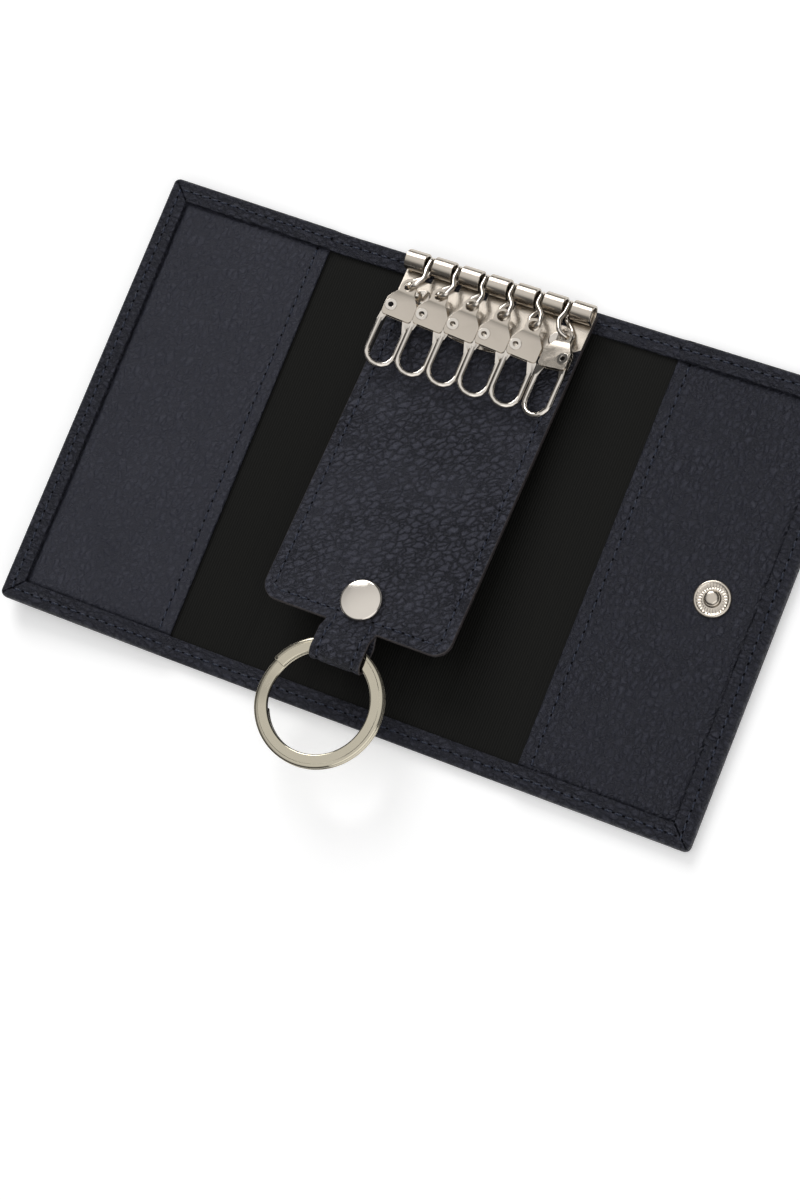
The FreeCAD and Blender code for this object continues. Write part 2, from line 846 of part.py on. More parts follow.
def key_loop(index):
    # A wire bow: flattened into an eye on the rivet, and into a six-sided latch on the free leg.
    half = loop_half_width
    flat = loop_flat / 2.0
    x = -hook_rivet_offset
    y = -hook_rivet_drop
    eye = disc(x, y, -flat, flat, loop_eye_radius)
    strip = polygon([
        vec(x - loop_eye_radius * 0.9, y, -flat),
        vec(x + loop_eye_radius * 0.4, y, -flat),
        vec(-half + loop_wire * 1.1, -loop_leg_top - loop_wire, -flat),
        vec(-half - loop_wire * 1.1, -loop_leg_top - loop_wire, -flat),
    ]).extrude(vec(0, 0, loop_flat))
    reach = latch_width / 2.0
    middle = half - reach + loop_wire
    low = -latch_leg_top - loop_wire
    latch = polygon([
        vec(middle - reach * 0.5, -latch_top, -flat),
        vec(middle + reach * 0.5, -latch_top, -flat),
        vec(middle + reach, -latch_top - reach, -flat),
        vec(half + loop_wire, low, -flat),
        vec(half - loop_wire, low, -flat),
        vec(middle - reach, -latch_top - reach, -flat),
    ]).extrude(vec(0, 0, loop_flat))
    shape = joined([loop_bow(), strip, eye, latch])
    shape = shape.cut(disc(x, y, -loop_flat, loop_flat, hook_rivet_radius + pivot_clearance))
    return moved(shape, hook_place(index))


def build():
    left = {
        "left_flap_leather": left_flap_leather(),
        "left_flap_lining": left_flap_lining(),
        "left_pocket": left_pocket(),
        "closure_socket": closure_socket(),
        "closure_socket_washer": closure_socket_washer(),
    }
    nodes = {
        "centre_leather": centre_leather(),
        "centre_lining": centre_lining(),
        "tongue_stud": tongue_stud(),
        "tongue_stud_washer": tongue_stud_washer(),
        "left_spine_leather": spine_leather(left_fold, -half_centre),
        "left_spine_lining": spine_lining(left_fold, -half_centre),
        "right_spine_leather": spine_leather(half_centre, right_fold),
        "right_spine_lining": spine_lining(half_centre, right_fold),
        "right_flap_leather": right_flap_leather(),
        "right_flap_lining": right_flap_lining(),
        "right_pocket": right_pocket(),
        "closure_stud": closure_stud(),
        "closure_stud_washer": closure_stud_washer(),
        "tongue_front": tongue_front(),
        "tongue_back": tongue_back(),
        "tongue_cap": tongue_cap(),
        "tongue_socket": tongue_socket(),
        "key_plate": key_plate(),
        "hinge_rod": hinge_rod(),
        "plate_rivets": plate_rivets(),
        "split_ring": split_ring(),
    }
    for name, shape in left.items():
        nodes[name] = moved(shape, left_flap_place)
    for index in range(hook_count):
        number = index + 1
        nodes[f"hanger_{number}"] = hanger(index)
        nodes[f"hook_body_{number}"] = hook_body(index)
        nodes[f"hook_rivet_{number}"] = hook_rivet(index)
        nodes[f"key_loop_{number}"] = key_loop(index)
    return nodes


def main():
    os.makedirs("parts", exist_ok=True)
    for name, shape in build().items():
        shape.exportStep(f"parts/{name}.step")
        print(name, shape.isValid(), len(shape.Solids), round(shape.Volume, 2))


main()
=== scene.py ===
import json
import math

import bpy
from mathutils import Matrix, Vector


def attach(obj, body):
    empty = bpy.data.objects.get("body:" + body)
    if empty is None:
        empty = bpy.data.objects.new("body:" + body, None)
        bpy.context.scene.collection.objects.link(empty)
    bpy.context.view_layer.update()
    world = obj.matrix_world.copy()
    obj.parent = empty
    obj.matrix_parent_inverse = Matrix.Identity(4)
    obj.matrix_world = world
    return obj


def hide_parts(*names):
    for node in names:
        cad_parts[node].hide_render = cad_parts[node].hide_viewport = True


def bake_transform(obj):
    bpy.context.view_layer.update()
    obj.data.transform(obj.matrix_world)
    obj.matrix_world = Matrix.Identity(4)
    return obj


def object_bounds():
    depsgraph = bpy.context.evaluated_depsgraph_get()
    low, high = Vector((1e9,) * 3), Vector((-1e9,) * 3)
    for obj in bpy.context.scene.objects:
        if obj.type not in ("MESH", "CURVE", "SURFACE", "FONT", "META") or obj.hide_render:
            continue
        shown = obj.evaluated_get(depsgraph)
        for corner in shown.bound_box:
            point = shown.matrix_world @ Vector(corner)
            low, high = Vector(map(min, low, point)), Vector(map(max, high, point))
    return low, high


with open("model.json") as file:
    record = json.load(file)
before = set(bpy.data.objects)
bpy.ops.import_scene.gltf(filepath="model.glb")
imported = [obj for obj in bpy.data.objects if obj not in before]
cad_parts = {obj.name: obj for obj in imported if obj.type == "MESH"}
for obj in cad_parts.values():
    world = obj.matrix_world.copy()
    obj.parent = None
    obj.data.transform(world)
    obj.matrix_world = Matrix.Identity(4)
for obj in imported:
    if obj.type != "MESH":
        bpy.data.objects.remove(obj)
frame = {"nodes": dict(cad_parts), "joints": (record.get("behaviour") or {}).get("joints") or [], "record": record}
cadLow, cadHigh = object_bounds()
cadNodes = frame["nodes"]
joints = {joint["name"]: joint for joint in frame["joints"]}
bodyOf = {node: body for body, nodes in frame["record"]["behaviour"]["bodies"].items() for node in nodes}
mm = 0.001
touch = 0.01  # places closer than this, in millimetres, count as one place
mergeGap = 0.002  # points of a solid's faces closer than this are merged
print("frame loaded with", len(cadNodes), "nodes")


# Small tools: everything below is in millimetres until it reaches Blender
def onlyThis(piece):
    bpy.ops.object.select_all(action="DESELECT")
    piece.select_set(True)
    bpy.context.view_layer.objects.active = piece


def startEdit(piece, kind):
    onlyThis(piece)
    bpy.context.tool_settings.mesh_select_mode = (kind == "VERT", kind == "EDGE", kind == "FACE")
    bpy.ops.object.mode_set(mode="EDIT")


def stopEdit():
    bpy.ops.object.mode_set(mode="OBJECT")


def addSlab(name, low, high):
    bpy.ops.object.select_all(action="DESELECT")
    low, high = Vector(low), Vector(high)
    bpy.ops.mesh.primitive_cube_add(size=1, location=(low + high) / 2 * mm)
    piece = bpy.context.object
    piece.name = piece.data.name = name
    piece.scale = (high - low) * mm
    bpy.ops.object.transform_apply(location=True, rotation=True, scale=True)
    return piece


def sliceAt(piece, axis, places):
    startEdit(piece, "FACE")
    for place in places:
        bpy.ops.mesh.select_all(action="SELECT")
        point, normal = Vector(), Vector()
        point[axis], normal[axis] = place * mm, 1
        bpy.ops.mesh.bisect(plane_co=point, plane_no=normal)
    stopEdit()


def clearPicks(mesh):
    for part in (mesh.vertices, mesh.edges, mesh.polygons):
        part.foreach_set("select", [False] * len(part))


def pickFaces(piece, test):
    clearPicks(piece.data)
    for face in piece.data.polygons:
        face.select = bool(test(face.center / mm, face.normal))


def pickEdges(piece, test):
    clearPicks(piece.data)
    points = piece.data.vertices
    for edge in piece.data.edges:
        edge.select = bool(test(points[edge.vertices[0]].co / mm, points[edge.vertices[1]].co / mm))


def pullFaces(piece, by):
    startEdit(piece, "FACE")
    bpy.ops.mesh.extrude_region_move(TRANSFORM_OT_translate={"value": Vector(by) * mm})
    stopEdit()


def bevelEdges(piece, width, segments):
    startEdit(piece, "EDGE")
    bpy.ops.mesh.bevel(offset=width * mm, segments=segments, affect="EDGES", clamp_overlap=True)
    stopEdit()


def movePoints(piece, rule):
    for point in piece.data.vertices:
        point.co = Vector(rule(point.co / mm)) * mm
    piece.data.update()


def applyModifier(piece, kind, **settings):
    onlyThis(piece)
    added = piece.modifiers.new(kind.lower(), kind)
    for key, value in settings.items():
        setattr(added, key, value)
    bpy.ops.object.modifier_apply(modifier=added.name)


def smoothShade(piece, degrees=50):
    onlyThis(piece)
    bpy.ops.object.shade_smooth_by_angle(angle=math.radians(degrees))


def ease(low, high, value):
    t = min(max((value - low) / (high - low), 0.0), 1.0)
    return t * t * (3 - 2 * t)


def steps(low, high, count):
    return [low + (high - low) * k / count for k in range(1, count)]


# The place of each point before the leather is bent, so that grain and ribs stay on the surface
def keepFlat(piece, grain=1.0, grainWay=0.0, pale=0.0):
    flat = piece.data.attributes.new("flatPlace", "FLOAT_VECTOR", "POINT")
    for point, item in zip(piece.data.vertices, flat.data):
        item.vector = point.co
    for name, value in (("grainDepth", grain), ("grainWay", math.radians(grainWay)), ("grainPale", pale)):
        kept = piece.data.attributes.new(name, "FLOAT", "POINT")
        kept.data.foreach_set("value", [value] * len(kept.data))


def dress(piece, material):
    piece.data.materials.clear()
    piece.data.materials.append(material)


def linearColour(code):
    parts = [int(code[k:k + 2], 16) / 255 for k in (1, 3, 5)]
    return [p / 12.92 if p <= 0.04045 else ((p + 0.055) / 1.055) ** 2.4 for p in parts] + [1.0]


def addNode(tree, kind, links, **settings):
    made = tree.nodes.new(kind)
    for key, value in settings.items():
        setattr(made, key, value)
    for key, value in links.items():
        if isinstance(value, bpy.types.NodeSocket):
            tree.links.new(value, made.inputs[key])
        else:
            made.inputs[key].default_value = value
    return made


def newMaterial(name):
    material = bpy.data.materials.new(name)
    material.use_nodes = True
    return material, material.node_tree, material.node_tree.nodes["Principled BSDF"]


def flatInMm(tree):
    place = addNode(tree, "ShaderNodeAttribute", {}, attribute_name="flatPlace").outputs["Vector"]
    return addNode(tree, "ShaderNodeVectorMath", {0: place, 3: 1 / mm}, operation="SCALE").outputs[0]


def wire(tree, shader, **sockets):
    for key, socket in sockets.items():
        tree.links.new(socket, shader.inputs[key.replace("_", " ")])


noiseLow, noiseHigh = 0.3, 0.7  # a noise texture's values lie mostly between these

# Drum-dyed calf, tumbled until it pebbles: soft domes with painted shade in the valleys between them, half matt
pebbledCalf = {
    # the crease colour is the painted shade in the valleys between pebbles
    "navy": "#30313a", "crease": "#090a0e", "worn": "#464751", "specular": 0.18, "roughLow": 0.36,
    "roughHigh": 0.52, "pebble": 1.3, "longer": 2.0, "finePebble": 0.6, "finePore": 0.2, "patch": 14.0,
    "warp": 0.6, "swayPerMm": 0.9, "domeEdge": 0.45, "creaseShadeEdge": 0.26, "fineEdge": 0.3, "fineRise": 0.25,
    "poreRise": 0.14, "depth": 1.0, "reliefFrom": 0.35, "reliefTo": 0.62, "leastRelief": 0.72,
    "wornFrom": 0.3, "wornTo": 0.75, "mostWorn": 0.5,
}


def makeLeather(look):
    material, tree, shader = newMaterial("calf_pebbled_navy")
    perMm = flatInMm(tree)
    grain = addNode(tree, "ShaderNodeAttribute", {}, attribute_name="grainDepth").outputs["Fac"]
    sway = addNode(tree, "ShaderNodeTexNoise", {"Vector": perMm, "Scale": look["swayPerMm"], "Detail": 2.0})
    centred = addNode(tree, "ShaderNodeVectorMath", {0: sway.outputs["Color"], 1: (0.5, 0.5, 0.5)},
                      operation="SUBTRACT").outputs[0]
    bent = addNode(tree, "ShaderNodeVectorMath", {0: centred, 1: (look["warp"] * 2,) * 3, 2: perMm},
                   operation="MULTIPLY_ADD").outputs[0]
    way = addNode(tree, "ShaderNodeAttribute", {}, attribute_name="grainWay").outputs["Fac"]
    turned = addNode(tree, "ShaderNodeVectorRotate", {"Vector": bent, "Angle": way}, rotation_type="Z_AXIS",
                     invert=True).outputs[0]
    drawn = addNode(tree, "ShaderNodeVectorMath", {0: turned, 1: (1 / look["longer"], 1.0, 1.0)},
                    operation="MULTIPLY").outputs[0]
    cells = addNode(tree, "ShaderNodeTexVoronoi", {"Vector": drawn, "Scale": 1 / look["pebble"]},
                    feature="DISTANCE_TO_EDGE").outputs["Distance"]
    fine = addNode(tree, "ShaderNodeTexVoronoi", {"Vector": bent, "Scale": 1 / look["finePebble"]},
                   feature="DISTANCE_TO_EDGE").outputs["Distance"]
    dome = addNode(tree, "ShaderNodeMapRange", {0: cells, 2: look["domeEdge"]},
                   interpolation_type="SMOOTHSTEP").outputs[0]
    fineDome = addNode(tree, "ShaderNodeMapRange", {0: fine, 2: look["fineEdge"],
                                                    4: look["fineRise"]}).outputs[0]
    pores = addNode(tree, "ShaderNodeTexNoise", {"Vector": perMm, "Scale": 1 / look["finePore"],
                                                 "Detail": 3.0, "Roughness": 0.6}).outputs[0]
    patches = addNode(tree, "ShaderNodeTexNoise", {"Vector": perMm, "Scale": 1 / look["patch"],
                                                   "Detail": 2.0}).outputs[0]
    relief = addNode(tree, "ShaderNodeMapRange", {0: patches, 1: look["reliefFrom"], 2: look["reliefTo"],
                                                  3: look["leastRelief"]}).outputs[0]
    both = addNode(tree, "ShaderNodeMath", {0: dome, 1: fineDome}, operation="ADD").outputs[0]
    local = addNode(tree, "ShaderNodeMath", {0: relief, 1: grain}, operation="MULTIPLY").outputs[0]
    pebbles = addNode(tree, "ShaderNodeMath", {0: both, 1: local}, operation="MULTIPLY").outputs[0]
    height = addNode(tree, "ShaderNodeMath", {0: pores, 1: look["poreRise"], 2: pebbles},
                     operation="MULTIPLY_ADD").outputs[0]
    bump = addNode(tree, "ShaderNodeBump", {"Height": height, "Distance": look["depth"] * mm,
                                            "Strength": 1.0})
    # painted shade: the crease colour darkens the valleys between pebbles, where little light gets down
    line = addNode(tree, "ShaderNodeMapRange", {0: cells, 2: look["creaseShadeEdge"]},
                   interpolation_type="SMOOTHSTEP").outputs[0]
    shallow = addNode(tree, "ShaderNodeMath", {0: line, 1: 1.0}, operation="SUBTRACT").outputs[0]
    shade = addNode(tree, "ShaderNodeMath", {0: shallow, 1: local, 2: 1.0},
                    operation="MULTIPLY_ADD").outputs[0]
    pale = addNode(tree, "ShaderNodeAttribute", {}, attribute_name="grainPale").outputs["Fac"]
    patchy = addNode(tree, "ShaderNodeMapRange", {0: patches, 1: look["wornFrom"], 2: look["wornTo"],
                                                  4: look["mostWorn"]}).outputs[0]
    lightness = addNode(tree, "ShaderNodeMath", {0: patchy, 1: pale}, operation="ADD",
                        use_clamp=True).outputs[0]
    ground = addNode(tree, "ShaderNodeMix", {0: lightness, 6: linearColour(look["navy"]),
                                             7: linearColour(look["worn"])}, data_type="RGBA").outputs[2]
    colour = addNode(tree, "ShaderNodeMix", {0: shade, 6: linearColour(look["crease"]), 7: ground},
                     data_type="RGBA").outputs[2]
    rough = addNode(tree, "ShaderNodeMapRange", {0: pores, 1: noiseLow, 2: noiseHigh, 3: look["roughLow"],
                                                 4: look["roughHigh"]}).outputs[0]
    wire(tree, shader, Base_Color=colour, Roughness=rough, Normal=bump.outputs[0])
    shader.inputs["Specular IOR Level"].default_value = look["specular"]
    return material


# Black viscose lining woven with a raised rib every 0.6 mm, dull, with faint raised streaks along the ribs;
# painted sheen lightens the streaks and a painted highlight each rib's top
ribbedLining = {
    # the paler colour is a painted highlight on each rib's top, and the streaks add painted sheen
    "black": "#090908", "ribHighlight": "#191917", "rib": 0.6, "streak": 2.2, "streakLong": 50.0, "streakSheen": 1.2,
    "toneLow": 0.3, "toneHigh": 1.7, "roughLow": 0.5, "roughHigh": 0.68, "streakRise": 0.8, "depth": 0.07,
    "strength": 0.8, "specular": 0.1,
}


def makeLining(look):
    material, tree, shader = newMaterial("viscose_ribbed_black")
    perMm = flatInMm(tree)
    across = addNode(tree, "ShaderNodeSeparateXYZ", {0: perMm}).outputs[0]
    turn = addNode(tree, "ShaderNodeMath", {0: across, 1: 2 * math.pi / look["rib"]},
                   operation="MULTIPLY").outputs[0]
    wave = addNode(tree, "ShaderNodeMath", {0: turn}, operation="SINE").outputs[0]
    rib = addNode(tree, "ShaderNodeMapRange", {0: wave, 1: -1.0}).outputs[0]
    drawnOut = (1 / look["streak"], 1 / look["streakLong"], 1.0)
    alongRib = addNode(tree, "ShaderNodeVectorMath", {0: perMm, 1: drawnOut}, operation="MULTIPLY").outputs[0]
    streaks = addNode(tree, "ShaderNodeTexNoise", {"Vector": alongRib, "Scale": 1.0,
                                                   "Detail": 3.0}).outputs[0]
    # painted highlight on each rib's top and painted sheen along the streaks, mixed into the colour
    streaked = addNode(tree, "ShaderNodeMath", {0: streaks, 1: look["streakSheen"], 2: rib},
                       operation="MULTIPLY_ADD").outputs[0]
    tone = addNode(tree, "ShaderNodeMapRange", {0: streaked, 1: look["toneLow"],
                                                2: look["toneHigh"]}).outputs[0]
    colour = addNode(tree, "ShaderNodeMix", {0: tone, 6: linearColour(look["black"]),
                                             7: linearColour(look["ribHighlight"])}, data_type="RGBA").outputs[2]
    rough = addNode(tree, "ShaderNodeMapRange", {0: streaks, 1: noiseLow, 2: noiseHigh, 3: look["roughLow"],
                                                 4: look["roughHigh"]}).outputs[0]
    mixed = addNode(tree, "ShaderNodeMath", {0: streaks, 1: look["streakRise"], 2: rib},
                    operation="MULTIPLY_ADD").outputs[0]
    bump = addNode(tree, "ShaderNodeBump", {"Height": mixed, "Distance": look["depth"] * mm,
                                            "Strength": look["strength"]})
    wire(tree, shader, Base_Color=colour, Roughness=rough, Normal=bump.outputs[0])
    shader.inputs["Specular IOR Level"].default_value = look["specular"]
    return material


# Nickel plate over steel: warm grey and bright, with only faint marks from polishing or pressing
polishedPlate = {
    "name": "nickel_plate_polished", "tone": "#d6cfc6", "roughLow": 0.08, "roughHigh": 0.13, "mark": 3.0,
}
pressedPlate = {
    "name": "nickel_plate_pressed", "tone": "#c5bcb0", "roughLow": 0.2, "roughHigh": 0.27, "mark": 2.0,
}
# the split ring's nickel: the polished plate painted darker, a painted shade for its darker look
ringShadedPlate = {
    "name": "nickel_plate_ring_shaded", "tone": "#bdb6a4", "roughLow": 0.08, "roughHigh": 0.13, "mark": 3.0,
}
plateMarks = {"dull": 0.95, "depth": 0.002, "strength": 0.4}


def makeNickel(look):
    material, tree, shader = newMaterial(look["name"])
    place = addNode(tree, "ShaderNodeTexCoord", {}).outputs["Object"]
    perMm = addNode(tree, "ShaderNodeVectorMath", {0: place, 3: 1 / mm}, operation="SCALE").outputs[0]
    marks = addNode(tree, "ShaderNodeTexNoise", {"Vector": perMm, "Scale": 1 / look["mark"],
                                                 "Detail": 3.0}).outputs[0]
    rough = addNode(tree, "ShaderNodeMapRange", {0: marks, 1: noiseLow, 2: noiseHigh, 3: look["roughLow"],
                                                 4: look["roughHigh"]}).outputs[0]
    clean = linearColour(look["tone"])
    dull = [c * plateMarks["dull"] for c in clean[:3]] + [1.0]
    colour = addNode(tree, "ShaderNodeMix", {0: marks, 6: dull, 7: clean}, data_type="RGBA").outputs[2]
    bump = addNode(tree, "ShaderNodeBump", {"Height": marks, "Distance": plateMarks["depth"] * mm,
                                            "Strength": plateMarks["strength"]})
    wire(tree, shader, Base_Color=colour, Roughness=rough, Normal=bump.outputs[0])
    shader.inputs["Metallic"].default_value = 1.0
    return material


def toneAndRelief(tree, shader, look, pattern):
    colour = addNode(tree, "ShaderNodeMix", {0: pattern, 6: linearColour(look["dark"]),
                                             7: linearColour(look["pale"])}, data_type="RGBA").outputs[2]
    bump = addNode(tree, "ShaderNodeBump", {"Height": pattern, "Distance": look["depth"] * mm,
                                            "Strength": look["strength"]})
    wire(tree, shader, Base_Color=colour, Normal=bump.outputs[0])
    shader.inputs["Roughness"].default_value = look["rough"]


# Acrylic edge paint, rolled on in coats: smooth, rounded, brown-grey and half matt
rolledPaint = {
    "dark": "#2c282a", "pale": "#423c3c", "coatPerMm": 0.6, "depth": 0.05, "strength": 0.6, "rough": 0.5,
}


def makeEdgePaint(look):
    material, tree, shader = newMaterial("edge_paint_rolled")
    coat = addNode(tree, "ShaderNodeTexNoise", {"Vector": flatInMm(tree), "Scale": look["coatPerMm"],
                                                "Detail": 3.0}).outputs[0]
    toneAndRelief(tree, shader, look, coat)
    return material


# Bonded polyester thread, twisted: navy, with a painted highlight along each strand of the twist
twistedThread = {
    "dark": "#131826", "pale": "#282f42", "twistPerMm": 0.8, "depth": 0.05, "strength": 0.8, "rough": 0.45,
}


def makeThread(look):
    material, tree, shader = newMaterial("polyester_thread_navy")
    twist = addNode(tree, "ShaderNodeTexWave", {"Vector": flatInMm(tree), "Scale": look["twistPerMm"],
                                                "Distortion": 1.0}, bands_direction="DIAGONAL").outputs[1]
    # the twist's bands mix dark and pale navy: a painted highlight on each strand
    toneAndRelief(tree, shader, look, twist)
    return material


# A flat dark disc at the hole that the needle leaves beside each stitch: painted shade, mottled a little
holeShadeLook = {"dark": "#030304", "pale": "#0a0a0e", "mottlePerMm": 6.0, "rough": 0.95, "specular": 0.05}


def makeHoleShade(look):
    material, tree, shader = newMaterial("needle_hole_painted_shade")
    mottle = addNode(tree, "ShaderNodeTexNoise", {"Vector": flatInMm(tree),
                                                "Scale": look["mottlePerMm"]}).outputs[0]
    colour = addNode(tree, "ShaderNodeMix", {0: mottle, 6: linearColour(look["dark"]),
                                             7: linearColour(look["pale"])}, data_type="RGBA").outputs[2]
    wire(tree, shader, Base_Color=colour)
    shader.inputs["Roughness"].default_value = look["rough"]
    shader.inputs["Specular IOR Level"].default_value = look["specular"]
    return material


leather = makeLeather(pebbledCalf)
lining = makeLining(ribbedLining)
edgePaint = makeEdgePaint(rolledPaint)
thread = makeThread(twistedThread)
needleHoleShade = makeHoleShade(holeShadeLook)
brightNickel = makeNickel(polishedPlate)
satinNickel = makeNickel(pressedPlate)
ringShadedNickel = makeNickel(ringShadedPlate)
print("materials ready")


# Stitching: one thread stitch and a flat disc of painted shade at its needle hole are modelled, then repeated
# along each sewn line
stitch = {
    "length": 2.0, "pitch": 2.45, "thick": 0.5, "lift": 0.03, "dive": 0.16, "slant": 5.0, "around": 8,
    "rings": 6, "hole": 0.33, "holeSides": 8, "holeLift": 0.02,
}


def oneStitch():
    bpy.ops.object.select_all(action="DESELECT")
    bpy.ops.mesh.primitive_uv_sphere_add(segments=stitch["around"], ring_count=stitch["rings"], radius=0.5)
    model = bpy.context.object
    bpy.ops.transform.resize(value=(stitch["length"] * mm, stitch["thick"] * mm, stitch["thick"] * mm))
    bpy.ops.object.transform_apply(location=True, rotation=True, scale=True)

    def fuller(p):
        # keep the thread full towards its ends, where it dives into the leather
        t = 2 * p.x / stitch["length"]
        full = math.sqrt(1 + t * t)
        aslant = p.x * math.tan(math.radians(stitch["slant"]))
        return (p.x, p.y * full + aslant, p.z * full - stitch["dive"] * t ** 4)
    movePoints(model, fuller)
    startEdit(model, "FACE")
    bpy.ops.mesh.select_all(action="DESELECT")
    # a flat disc at the needle hole, which carries the painted shade
    bpy.ops.mesh.primitive_circle_add(
        vertices=stitch["holeSides"], radius=stitch["hole"] * mm, fill_type="NGON",
        location=(stitch["pitch"] / 2 * mm, 0, stitch["holeLift"] * mm))
    stopEdit()
    return model


stitchModel = oneStitch()
stitchPoints = [v.co.copy() for v in stitchModel.data.vertices]
stitchFaces = [list(f.vertices) for f in stitchModel.data.polygons]
bpy.data.objects.remove(stitchModel)


def walk(path, pitch):
    # middles and directions of stitches laid end to end along a line of points
    lengths = [(b - a).length for a, b in zip(path, path[1:])]
    total = sum(lengths)
    count = max(1, int(total / pitch))
    places = []
    for k in range(count):
        along = (k + 0.5) * total / count
        for a, b, run in zip(path, path[1:], lengths):
            if along <= run:
                places.append((a + (b - a) * (along / run), (b - a).normalized()))
                break
            along -= run
    return places


def sewLine(name, paths, surface):
    points, faces = [], []
    for path in paths:
        for middle, way in walk([Vector(p) for p in path], stitch["pitch"]):
            turn = Matrix.Rotation(math.atan2(way.y, way.x), 3, "Z")
            seat = Vector((middle.x, middle.y, surface(middle.x, middle.y) + stitch["lift"])) * mm
            first = len(points)
            points += [seat + turn @ p for p in stitchPoints]
            faces += [[first + k for k in face] for face in stitchFaces]
    mesh = bpy.data.meshes.new(name)
    mesh.from_pydata(points, [], faces)
    piece = bpy.data.objects.new(name, mesh)
    bpy.context.scene.collection.objects.link(piece)
    keepFlat(piece)
    dress(piece, thread)
    piece.data.materials.append(needleHoleShade)
    for face in mesh.polygons:
        face.use_smooth = True
        # the hole's disc takes the painted shade
        face.material_index = 1 if len(face.vertices) == stitch["holeSides"] else 0
    return piece


# The case's outer hide: a panel whose edges are turned over into a sewn hem
hide = {
    "halfHeight": 54.0, "halfWidth": 87.0, "thick": 1.1, "hemTop": 2.4, "hemWidth": 5.0,
    "overPocket": 0.9, "pocketLeft": -44.3, "pocketRight": 44.3, "cornerRound": 1.5, "edgeRound": 0.85,
    "lipRound": 0.2, "sewnIn": 2.5, "groove": 0.22, "foldReach": 3.5, "leftLift": 4.0, "grain": 0.65,
    "socketAt": (-61.5, 0.0), "socketHole": 2.6, "mitreDeep": 0.7, "mitreWide": 0.22, "climb": 1.6,
    "sewnSkin": 0.3, "cutEvery": 1.4, "rows": 24, "cornerCuts": 6, "edgeCuts": 4, "lipCuts": 3,
}
foldAt = {name: Vector(joints[name]["pos_m"]) / mm for name in
          ("left_fold", "left_flap_fold", "right_fold", "right_flap_fold", "tongue_lift")}
leftMiddle = (foldAt["left_fold"].x + foldAt["left_flap_fold"].x) / 2
rightMiddle = (foldAt["right_fold"].x + foldAt["right_flap_fold"].x) / 2
hemInner = hide["halfHeight"] - hide["hemWidth"]
hemInnerX = hide["halfWidth"] - hide["hemWidth"]
sewnY = hide["halfHeight"] - hide["sewnIn"]
sewnSteps = (-0.9, -0.45, 0.0, 0.45, 0.9)  # cuts beside a sewn line, for the dip that the thread draws
sewnWide = 0.5  # half the width of that dip
facing = 0.5  # least share of a direction in the normal of a face that faces that way
punchTool = {"tall": 9.0, "sides": 32}


def pocketRise(x):
    # the hem climbs over the pocket's leather
    if x < 0:
        return ease(0.0, hide["climb"], hide["pocketLeft"] + hide["climb"] / 2 - x)
    return ease(0.0, hide["climb"], x - hide["pocketRight"] + hide["climb"] / 2)


def hemSurface(x, y):
    return hide["hemTop"] + hide["overPocket"] * pocketRise(x) - hide["groove"]


def liftLeft(piece):
    # the left flap stands a little off the table on the snap behind it
    hinge = foldAt["left_flap_fold"]
    reach = hide["foldReach"]

    def turned(p):
        share = ease(0.0, 2 * reach, hinge.x + reach - p.x)
        turn = Matrix.Rotation(math.radians(hide["leftLift"] * share), 3, "Y")
        return hinge + turn @ (p - hinge)
    movePoints(piece, turned)


def bendAcross(piece):
    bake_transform(piece)


def punch(piece, place, radius):
    bpy.ops.object.select_all(action="DESELECT")
    bpy.ops.mesh.primitive_cylinder_add(
        vertices=punchTool["sides"], radius=radius * mm, depth=punchTool["tall"] * mm,
        location=Vector((place[0], place[1], 0)) * mm)
    rod = bpy.context.object
    applyModifier(piece, "BOOLEAN", operation="DIFFERENCE", object=rod, solver="EXACT")
    bpy.data.objects.remove(rod)


def mitreCuts(panel, hemX, away):
    # the hem's two edges meet at each corner in a folded mitre
    for sideY in (-1, 1):
        for offset in (-1, 0, 1):
            pickFaces(panel, lambda p, n: n.z > facing and (p.x - hemX) * away > 0
                      and p.y * sideY > hemInner)
            startEdit(panel, "FACE")
            corner = Vector((hemX + offset * hide["mitreWide"] * math.sqrt(2), sideY * hemInner, 0))
            bpy.ops.mesh.bisect(plane_co=corner * mm, plane_no=(away, -sideY, 0))
            stopEdit()


